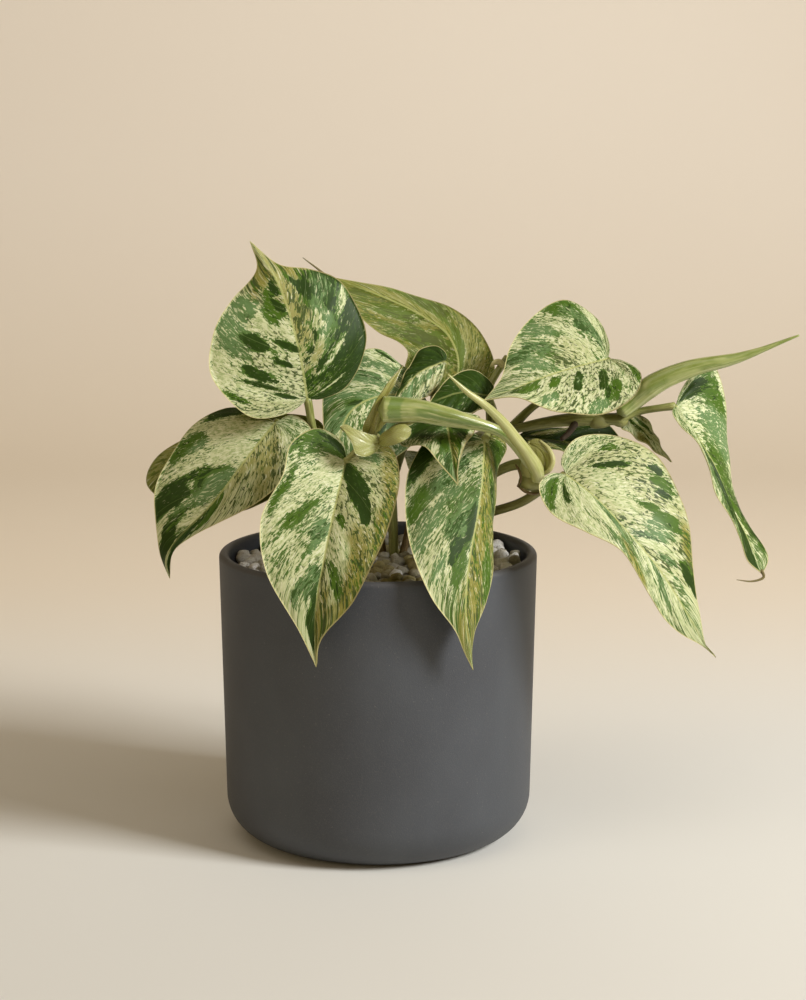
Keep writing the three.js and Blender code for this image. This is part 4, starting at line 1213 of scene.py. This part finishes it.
for number, (name, leaf) in enumerate(LEAVES.items()):
    blade = make_blade(name, leaf, blade_skin, number * BLADE_SEED_STEP)
    settle(blade, "blade", name)
    if "thread" in leaf:
        parts = [tube(leaf["thread"], THREAD_RADII, 10, 0.8)]
        thread = toned_piece("thread_" + name[5:], parts, stem_skin, [THREAD_TONE])
        settle(thread, "blade", name)

settle(lathe("pot_shell", pot_profile(), POT_SIDES, charcoal_pot()), "charcoal", "pot")
settle(make_piece("potting_soil", *soil_corners(), potting_soil()), "soil", "soil")
settle(stones("pumice_gravel", pumice(), 5), "pumice", "gravel")

# Each stem, after how old and how pale it is
VINES = {
    "vine_left": [
        (0.25, 0, tube(
            [(6, 20, 88), (6, 19, 122), (5, 14, 142), (2, 0, 154), (-1, -20, 163), (-1, -33, 168)],
            [2.3, 2.2, 2.1, 2, 2, 2.2], shape=ridged)),
        (1, 0, tube([(6, 20, 100), (10, 21, 112), (13, 20, 127)], [1.8, 1.6, 1.3], shape=ridged)),
        (1, 0, tube([(6, 20, 98), (2, 25, 110), (1, 27, 123)], [1.8, 1.6, 1.2], shape=ridged)),
        (0, 0.2, petiole([(-2, -32, 167), (-7, -37, 165), (-12, -42, 161)])),
        (0.05, 0, petiole([(5, 12, 144), (-10, 0, 156), (-24, -8, 165), (-28, -13.5, 182)])),
        (0.1, 0, petiole([(4, 6, 149), (-16, 2, 160), (-32, -2, 168), (-41, -11, 172)])),
        (0.1, 0, petiole([(6, 16, 137), (-8, 12, 152), (-21.5, 6, 163)])),
        (0.15, 0, petiole([(5, 14, 142), (12, 13, 162), (18, 4, 179)])),
        (0.2, 0, petiole([(6, 18, 128), (-4, 30, 144), (-12, 41, 150)])),
        (0.1, 0.2, knot((-1, -33, 168), (3.1, 3.1, 3.1))),
    ],
    "vine_front": [
        (0.25, 0, tube(
            [(30, 4, 88), (32, -1, 122), (39, -11, 144), (47, -19, 153), (54, -24, 157),
             (60, -29, 158)],
            [2.1, 1.9, 1.7, 1.7, 1.9, 2.4], shape=ridged)),
        (0.45, 0, tube(
            [(33, -2, 128), (42, -15, 135), (57, -25, 142), (66, -31, 149), (73.5, -35.5, 155)],
            [2.1, 2, 1.9, 1.6], shape=ridged)),
        (0, 0.35, knot((60.5, -31, 157), (4.6, 4.1, 5.4), 3.0)),
        (0.2, 0.1, knot((60.6, -31, 151.4), (5.2, 4.2, 3.8), 6.0)),
        (0, 0.6, tube(
            [(63.9, -31, 167.8), (67.2, -34, 164.8), (68.8, -36, 160.7), (67.4, -36, 156.8),
             (64.1, -34, 154.6)],
            [0.5, 0.9, 1, 0.9, 0.7], 12, 0.8)),
        (1, 0, tube(
            [(54.3, -34, 158.8), (56, -35, 155.6), (56.3, -35, 152.8), (55.2, -33, 149.9)],
            [0.35, 0.6, 0.55, 0.4], 8, 0.8)),
        (1, 0, tube(
            [(55.2, -33, 150.2), (58, -35, 148.3), (61.5, -34, 147.1), (64.6, -31, 147.1)],
            [0.4, 0.7, 0.6, 0.4], 8, 0.8)),
    ],
    "vine_right": [
        (0.3, 0, tube(
            [(17, 14, 88), (17, 13, 120), (22, 9, 148), (36, 3, 162), (52, 0, 167), (74, 2, 171),
             (99, 0, 172)],
            [2.3, 2.2, 2, 1.9, 1.6, 1.9, 2.8, 2.5], shape=ridged)),
        (0.3, 0, petiole([(19, 12, 136), (26, 20, 160), (30, 15, 179.5)])),
        (0.2, 0, petiole([(24, 8, 150), (23, 11, 168), (23, 9, 182), (27, 5, 194.5)])),
        (0.2, 0, petiole([(30, 5, 157), (27, -8, 166), (27, -26, 176)])),
        (0.1, 0, petiole([(36, 3, 162), (42, -14, 168), (43, -30, 170), (42, -39.5, 169.5)])),
        (0.15, 0, petiole([(48, 1, 166), (47, -1, 175), (44.5, -3.5, 181.5)])),
        (0.2, 0, petiole(
            [(54, 1, 168), (64, 10, 176), (81, 21, 184), (92, 17, 191), (94, 12.5, 194.5)])),
        (0.2, 0, petiole([(44, 2, 165), (50, 6, 163), (56.5, 8, 162)])),
        (0.1, 0.1, petiole([(98, 0, 172), (106, 0, 175), (114, -4, 177), (119.5, -6, 178)])),
        (0.1, 0, petiole([(96, 2, 171), (100, 6, 173)])),
        (0.3, 0, petiole([(18, 14, 126), (24, 30, 141), (26, 41, 146)])),
        (0.1, 0, petiole([(46, 2, 167), (45.2, 6, 183), (48.2, 10, 189.1), (52.9, 15, 195.1)])),
        (0, 0.8, tube(
            [(51.5, 11, 191.8), (49.4, 11, 193.9), (47.3, 10, 193.6), (46.1, 10, 192)],
            [1.2, 1.5, 1.1, 0.5], step=0.8)),
        (0.4, 0, knot((90, 1, 171), (5, 3.3, 3.3), 9.0)),
        (0.3, 0, knot((98, 1, 171.5), (3.8, 3, 3), 12.0)),
        (1.3, 0, tube([(80, 0, 170), (77, -5, 167), (74, -9, 165)], [1.5, 1.3, 0.9], step=0.8)),
    ],
}
for name, stems in VINES.items():
    parts, tones = [part for _, _, part in stems], [(age, pale, 0) for age, pale, _ in stems]
    settle(toned_piece("stems_" + name, parts, stem_skin, tones), "stem", name)

# Leaves that are still rolled: path, radii, sides, and how banded, olive and pale each one is
BUDS = {
    "leaf_unrolling": (
        [(2.7, -48, 182.4), (16, -48, 181.8), (25.6, -47, 179.7), (35.2, -46, 177.3),
         (44.9, -44, 174.3), (50.5, -41, 170.7), (57.4, -36, 162.1), (61.2, -32, 156.3)],
        [5.2, 4.9, 4.4, 4.1, 3.7, 2.9, 2.3, 2.0, 1.9, 1.8, 1.8, 1.9], 40, (1, 0, 0.1)),
    "spear_front": (
        [(27.1, -62, 197.6), (34.4, -60, 190.7), (41.3, -57, 185.3), (48.2, -52, 178.1),
         (53.3, -47, 171.2), (58.3, -42, 164.2), (62.1, -37, 157.5), (63.1, -34, 153.4)],
        [0.3, 0.9, 1.3, 1.6, 1.9, 2.1, 2.3, 2.5, 2.9, 2.8], 28, (0.1, 0, 0.65)),
    "spear_right": (
        [(168, -10, 207), (145, -8, 198), (125, -6, 193), (112, -4, 187), (103, -2, 179.5),
         (98, -3, 175.5)],
        [0.4, 1.2, 2.6, 3.6, 4.4, 3.4], 28, (0.3, 0.1, 0)),
}
for name, (path, radii, sides, tone) in BUDS.items():
    parts = [tube(path, radii, sides, 1.0, lapped)]
    settle(toned_piece("rolled_" + name, parts, bud_skin, [tone]), "bud", name)

# The free edges of the leaf that is unrolling: like small blades, with how olive each one is
FLAPS = {
    "flap_sliver": (1, {
        "rib": [(-3.3, -44, 171.9), (-0.7, -47, 180.1), (2.5, -48, 186.8), (6, -46, 193.1),
                (10.4, -42, 198.9)],
        "left": [(-5.4, -46, 173.8), (-2.3, -49, 182), (1, -49, 187.7), (4.8, -47, 193.3)],
        "right": [(-1.2, -46, 172.6), (0.6, -48, 179.1), (2.9, -49, 185.4), (6.8, -47, 191.7)],
    }),
    "flap_mouth": (0.5, {
        "rib": [(-0.6, -45, 172.8), (1.7, -46, 178.8), (4.4, -47, 185.9)],
        "left": [(-0.2, -48, 176.8), (2, -49, 182.7)],
        "right": [(3.3, -50, 177.1), (4.8, -51, 181.8)],
    }),
    "flap_left": (0.35, {
        "rib": [(1.3, -45, 168.9), (-4, -50, 170.1), (-9.1, -51, 173), (-14, -49, 175.8)],
        "left": [(-0.2, -46, 166), (-4.8, -51, 164.6), (-7.8, -52, 165.7), (-9.5, -52, 170),
                 (-12, -51, 173.9)],
        "right": [(0.6, -45, 171.3), (-2.5, -49, 173), (-8.2, -50, 175.1), (-11.7, -49, 176.7)],
    }),
    "flap_right": (0.7, {
        "rib": [(0.6, -45, 168.9), (5.2, -52, 172.9), (9.8, -53, 174.8), (13.3, -50, 175.1)],
        "left": [(1.7, -47, 172.4), (6, -50, 175.7), (10.6, -50.5, 177.1)],
        "right": [(2.9, -48, 168.2), (6.4, -52, 169.2), (10.2, -53, 170.9), (12.7, -51, 172.6)],
    }),
    "flap_upper": (0.45, {
        "rib": [(2.9, -46, 171.4), (8.7, -48, 176.4), (16.3, -47, 178)],
        "left": [(5.2, -47, 175.1), (9.8, -48, 177.7), (13.3, -47.5, 178.5)],
        "right": [(6, -47, 173.1), (10.2, -49, 175.6), (14, -48, 177)],
    }),
    "sheath_hook": (0.95, {
        "rib": [(59.4, -29, 166.5), (64.1, -33, 164), (66.3, -34, 159.8), (64.7, -33, 154.7)],
        "left": [(63, -30, 168.4), (66.9, -33, 165.1), (68.7, -35, 160.6), (67.2, -35, 156.7)],
        "right": [(59.9, -31, 164.3), (62.3, -33, 160.9), (63.4, -34, 157.3)],
    }),
}
for number, (name, (olive, leaf)) in enumerate(FLAPS.items()):
    flap = make_blade(name, leaf, bud_skin, number * FLAP_SEED_STEP, FLAP_FLESHINESS)
    settle(flap, "bud", "vine_front" if name == "sheath_hook" else "leaf_unrolling")
    flap.data.uv_layers["vein"].name = "along"
    add_values(flap, "tone", [(0, olive, 0.5 * (1 - olive))] * len(flap.data.vertices))

# Floor and light. The paper lies flat, bends up behind the pot and goes on as a wall, in metres.

PAPER_SIDE, PAPER_FRONT = 1.6, -1.6
BEND_START, BEND_RADIUS, BEND_ANGLE = 0.9, 0.7, 1.45
WALL_LEAN, WALL_HEIGHT = 0.25, 2.2

bend = [(BEND_START + BEND_RADIUS * math.sin(a), BEND_RADIUS * (1 - math.cos(a)))
        for a in np.linspace(0, BEND_ANGLE, 14)]
paper = [(PAPER_FRONT, 0.0), *bend, (bend[-1][0] + WALL_LEAN, bend[-1][1] + WALL_HEIGHT)]
sweep_corners = [(x / MM, y / MM, z / MM) for y, z in paper for x in (-PAPER_SIDE, PAPER_SIDE)]
sweep_faces = [[2 * k, 2 * k + 1, 2 * k + 3, 2 * k + 2] for k in range(len(paper) - 1)]
sweep = make_piece("sweep", sweep_corners, sweep_faces, studio_paper())


def soft_light(name, place, aim, size, watts, colour, spread=math.pi):
    """A rectangular lamp that is turned towards its aim; lengths in metres."""
    lamp = bpy.data.lights.new(name, "AREA")
    lamp.shape, lamp.size, lamp.size_y = "RECTANGLE", *size
    lamp.energy, lamp.color, lamp.spread = watts, colour, spread
    holder = bpy.data.objects.new(name, lamp)
    bpy.context.scene.collection.objects.link(holder)
    holder.location = place
    holder.rotation_euler = (Vector(aim) - Vector(place)).to_track_quat("-Z", "Y").to_euler()


soft_light("key", (1.32, -0.72, 1.0), (0.02, 0, 0.15), (0.55, 0.55), 36, (0.99, 0.99, 1))
soft_light("fill", (-1.3, -1.2, 0.7), (0, 0, 0.15), (1, 1), 3.9, (1, 0.86, 0.6))
soft_light("wall", (-0.2, -0.2, 1.3), (0, 1.6, 0.4), (1.2, 1.2), 4.0, (1, 0.98, 0.95), 2.2)

# The room gives a dim warm light; past the paper's edges it is seen as a pale wall.
world = bpy.data.worlds.new("room")
world.use_nodes = True
room = Nodes(world.node_tree)
glow = room.node("ShaderNodeBackground", {}, (1, 0.66, 0.3), 0.18)
pale_wall = room.node("ShaderNodeBackground", {}, (0.66, 0.58, 0.47), 1.0)
seen = room.node("ShaderNodeLightPath", {})
room.put(room.node("ShaderNodeMixShader", {}, seen, glow, pale_wall),
         room.tree.nodes["World Output"].inputs["Surface"])
bpy.context.scene.world = world
bpy.context.scene.view_settings.view_transform = "Standard"
